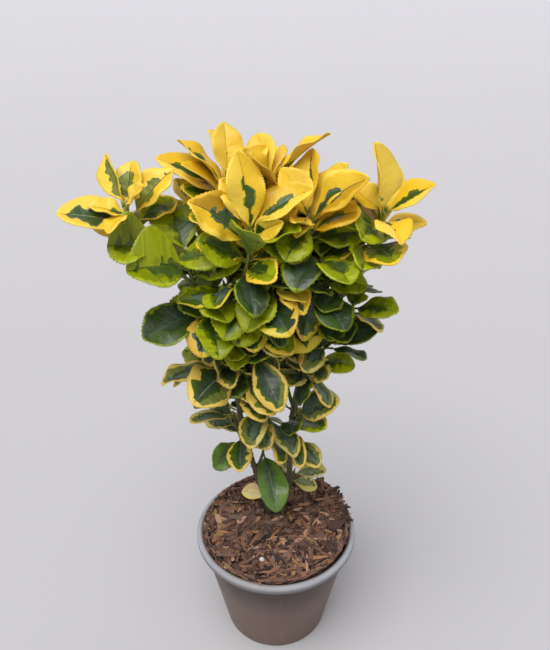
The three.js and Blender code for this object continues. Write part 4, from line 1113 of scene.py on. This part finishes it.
# Leaves further down each shoot and limb, where they clear every leaf that is there and stay within a mass
filling = {
    "seed": 71, "spacing": (5, 8), "lowest": 208, "length": (18, 37), "lengthHeights": (190, 285),
    "rise": (-25, 45), "tries": 18, "margin": 2, "fromTip": 7, "outside": 0.35, "fromGold": 30,
    "turn": 90, "turnSway": 14, "leafSway": 25, "lengthSway": (0.85, 1.15), "fold": (6, 18), "front": 270, "back": 90,
    "seeds": 900000,
    "coats": [(318, "loqol"), (296, "luqdol"), (255, "dldedmd"), (0, "mdmmdn")],
    "limes": "ullduq", "limeHeights": (238, 326), "limesLeftOf": -16,
    "placed": {"turn": 190, "climb": 8, "length": 30, "breadth": 1.8, "bent": 34, "coat": "u", "seed": 800000,
               "fold": 15, "arch": 20},
    "placedOn": ("bough_far_left", 0.75), "placedIn": "foliage_spray_left",
    "alike": {"down": 0.7, "young": 0.15, "pair": 99},
}


def withinCrown(point):  # whether a point lies within the crown's outline, seen from the camera
    eye = camera.location / mm
    reach = (crown["plane"] - eye.y) / (point.y - eye.y)
    across, height = eye.x + (point.x - eye.x) * reach, eye.z + (point.z - eye.z) * reach
    for (top, left, right), (low, lowLeft, lowRight) in zip(crown["outline"], crown["outline"][1:]):
        if low <= height < top:
            share = (top - height) / (top - low)
            return (between(left, lowLeft, share) < across + crown["slack"]
                    and across - crown["slack"] < between(right, lowRight, share)
                    and not any(a < across < c and b < height < d for a, b, c, d in crown["windows"]))
    return False


def coarseBlade(leaf):  # a leaf's plain shape as a tree, with its points and its box
    points = [coarsePoint(leaf, share, side) for share in (0.25, 0.45, 0.65, 0.85, 1) for side in (-1, 0, 1)]
    quads = [(k, k + 1, k + 4, k + 3) for row in range(4) for k in (row * 3, row * 3 + 1)]
    box = [(min(p[axis] for p in points), max(p[axis] for p in points)) for axis in range(3)]
    return BVHTree.FromPolygons(points, quads), points, box


def meets(first, second):
    apart = any(a[0] >= b[1] or b[0] >= a[1] for a, b in zip(first[2], second[2]))
    return not apart and first[0].overlap(second[0])


def holds(outer, box):
    return all(out[0] < side[0] and side[1] < out[1] for out, side in zip(outer, box))


def massBox(mass):
    low, high = (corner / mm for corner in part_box(mass["node"]))
    return [(low[axis] - filling["margin"], high[axis] + filling["margin"]) for axis in range(3)]


def fillingCoats(points):
    height = sum(point.z for point in points) / len(points)
    low, high = filling["limeHeights"]
    if low < height < high and points[-2].x < filling["limesLeftOf"]:
        return filling["limes"]
    return next(letters for least, letters in filling["coats"] if height > least)


# The lines that the filling leaves grow on, each with the shoot that they belong to
def fillingLines():
    lines = [([shootPoint(shoot["start"], shoot["tip"], i / 60) for i in range(61)], shoot) for shoot in shoots]
    for name in limbs:
        line = [limbPoint(name, i / 60) for i in range(61)]
        lines.append((line, min(shoots, key=lambda shoot: (shoot["start"] - line[-1]).length
                                + filling["fromGold"] * (shoot["mass"]["gold"] > leafForm["goldFolds"]))))
    return lines


def triedLeaf(draw, root, heading, side, seed):
    low, high = filling["lengthHeights"]
    turn = heading + 180 * side + draw.sway(filling["leafSway"])
    rise, share = draw(*filling["rise"]), within((root.z - low) / (high - low), 0, 1)
    length = between(*filling["length"], share) * draw(*filling["lengthSway"])
    light = filling["front" if math.sin(math.radians(turn)) < 0.25 else "back"]
    return {"root": root, "length": length, **filling["alike"], "side": side, "seed": seed,
            "fold": draw(*filling["fold"]), "arch": draw(*leafForm["arch"]),
            **leafAxes(turn, rise, draw.sway(filling["leafSway"]), light)}


def fillShoots():
    draw, grown = Draws(filling["seed"]), []
    for shoot in shoots:
        tried = [(leaf, coarseBlade(leaf)) for leaf in shoot["leaves"]]
        kept = [(leaf, shape) for leaf, shape in tried if leaf.get("listed")
                or sum(not withinCrown(point) for point in shape[1]) / len(shape[1]) < filling["outside"]]
        shoot["leaves"] = [leaf for leaf, shape in kept]
        grown += [shape for leaf, shape in kept]
    placed = filling["placed"]
    leaf = {"root": limbPoint(*filling["placedOn"]), **filling["alike"], **placed, "side": 0,
            **leafAxes(placed["turn"], placed["climb"], 0, filling["front"])}
    next(shoot for shoot in shoots if shoot["mass"]["node"] == filling["placedIn"])["leaves"].append(leaf)
    grown.append(coarseBlade(leaf))
    boxes = [massBox(mass) for mass in masses]
    added = 0
    for line, shoot in fillingLines():
        span = lengthOf(line)
        place, heading = filling["fromTip"], 360 * draw()
        while place < span - 3:
            root = line[round(60 * (1 - place / span))]
            heading += filling["turn"] + draw.sway(filling["turnSway"])
            for side in (0, 1) if root.z > filling["lowest"] else ():
                for attempt in range(filling["tries"]):
                    leaf = triedLeaf(draw, root, heading, side, filling["seeds"] + added * 20 + attempt)
                    shape = coarseBlade(leaf)
                    if (any(holds(outer, shape[2]) for outer in boxes)
                            and all(withinCrown(point) for point in shape[1])
                            and not any(meets(shape, other) for other in grown)):
                        leaf["coat"] = draw.pick(fillingCoats(shape[1]))
                        shoot["leaves"].append(leaf)
                        grown.append(shape)
                        added += 1
                        break
            place += draw(*filling["spacing"])
    print("leaves filled in:", added)


fillShoots()


def makeLeaves(materials):
    slots = {"leavesGold": "leaf_gold", "leavesGreen": "leaf_green", "leavesLow": "leaf_green"}
    sets = {name: (bmesh.new(), []) for name in slots}
    for shoot in shoots:
        mass = shoot["mass"]
        green = "leavesGreen" if mass["tip"][2] > 255 else "leavesLow"
        bm, nodes = sets["leavesGold" if mass["gold"] >= leafForm["goldFolds"] else green]
        nodes.append(mass["node"])
        for leaf in shoot["leaves"]:
            addBlade(bm, leaf, coatOf(mass, leaf))
    for name, (bm, nodes) in sets.items():
        thicken(addPiece(name, bm, materials, slots[name], nodes))


def thicken(piece):
    addModifier(piece, "SOLIDIFY", thickness=blade["thick"] * mm, offset=0, material_offset=2 * len(tints))


leafSkins = leafMaterials()
makeLeaves(leafSkins)

fallen = {"root": (-4, 26, 89.2), "ahead": (-0.96, 0.16, 0.12), "length": 24, "breadth": 1.3, "fold": 12,
          "arch": 14, "young": 0, "pair": 99, "seed": 4242}


def makeFallenLeaf():
    ahead, up = Vector(fallen["ahead"]).normalized(), Vector((0, 0, 1))
    up = (up - ahead * up.dot(ahead)).normalized()
    bm = bmesh.new()
    addBlade(bm, {**fallen, "root": Vector(fallen["root"]), "ahead": ahead, "up": up, "across": ahead.cross(up),
                  "face": up}, "f")
    thicken(addPiece("fallenLeaf", bm, leafSkins, "leaf_gold", []))


makeFallenLeaf()

# Twigs: the shoots' green axes, the leaf stalks and the buds in their tips
twigForm = {
    "sides": 7, "stalkSides": 5, "step": 3, "bud": 3.4, "budRadius": 1.1, "stalkShares": (0, 0.06, 0.12, 0.2),
    "tints": {"yellow twig": (132, 136, 50), "green twig": (88, 104, 36), "old twig": (74, 72, 40),
              "stalk": (130, 138, 62), "bud": (128, 140, 52)},
}


def twigFinish(name, tint):
    skin = Finish(name, {"Base Color": screen(*tint), "Coat Weight": 0.08, "Coat Roughness": 0.35})
    ridge, pores = skin.grain(260, 3, 0.6, (1, 1, 0.3)), skin.grain(1200, 1, 0.5)
    skin.feed({"Roughness": skin.ramp(ridge, 0.3, 0.7, 0.42, 0.62),
               "Normal": skin.relief(ridge + pores * 0.2, 0.0003)})
    return skin.material


def addTwig(bm, start, tip, kind):
    span = lengthOf([shootPoint(start, tip, i / 40) for i in range(41)])
    steps = max(4, math.ceil(span / twigForm["step"]))
    points = [shootPoint(start, tip, i / steps) for i in range(steps + 1)]
    radii = [between(*shootRule["radius"], i / steps) for i in range(steps + 1)]
    sweep(bm, points, radii, twigForm["sides"], kind)


def addStalk(bm, leaf, kind):
    points = [midribPoint(leaf, share) - leaf["face"] * 0.2 for share in twigForm["stalkShares"]]
    radii = [between(*blade["petiole"], i / 3) for i in range(3)] + [0.25]
    sweep(bm, points, radii, twigForm["stalkSides"], kind)


def addBud(bm, tip, ahead, kind):
    turn = ahead.to_track_quat("Z", "Y").to_matrix().to_4x4()
    part = bmesh.new()
    bmesh.ops.create_cone(part, cap_ends=True, segments=8, radius1=twigForm["budRadius"], radius2=0.25,
                          depth=twigForm["bud"], matrix=Matrix.Translation(tip + ahead * twigForm["bud"] * 0.4) @ turn)
    smooth(part.faces, kind)
    join(bm, part)


def makeTwigs():
    bm = bmesh.new()
    names = list(twigForm["tints"])
    for shoot in shoots:
        gold = shoot["mass"]["gold"]
        kind = 0 if gold > 0.85 else 1 if gold > 0.25 else 2
        for start, tip in shoot["axes"]:
            addTwig(bm, start, tip, kind)
            addBud(bm, tip, (tip - shootPoint(start, tip, 0.9)).normalized(), names.index("bud"))
        for leaf in shoot["leaves"]:
            addStalk(bm, leaf, names.index("stalk"))
    materials = [twigFinish(name, tint) for name, tint in twigForm["tints"].items()]
    addPiece("twigs", bm, materials, "stem", [mass["node"] for mass in masses])


makeTwigs()
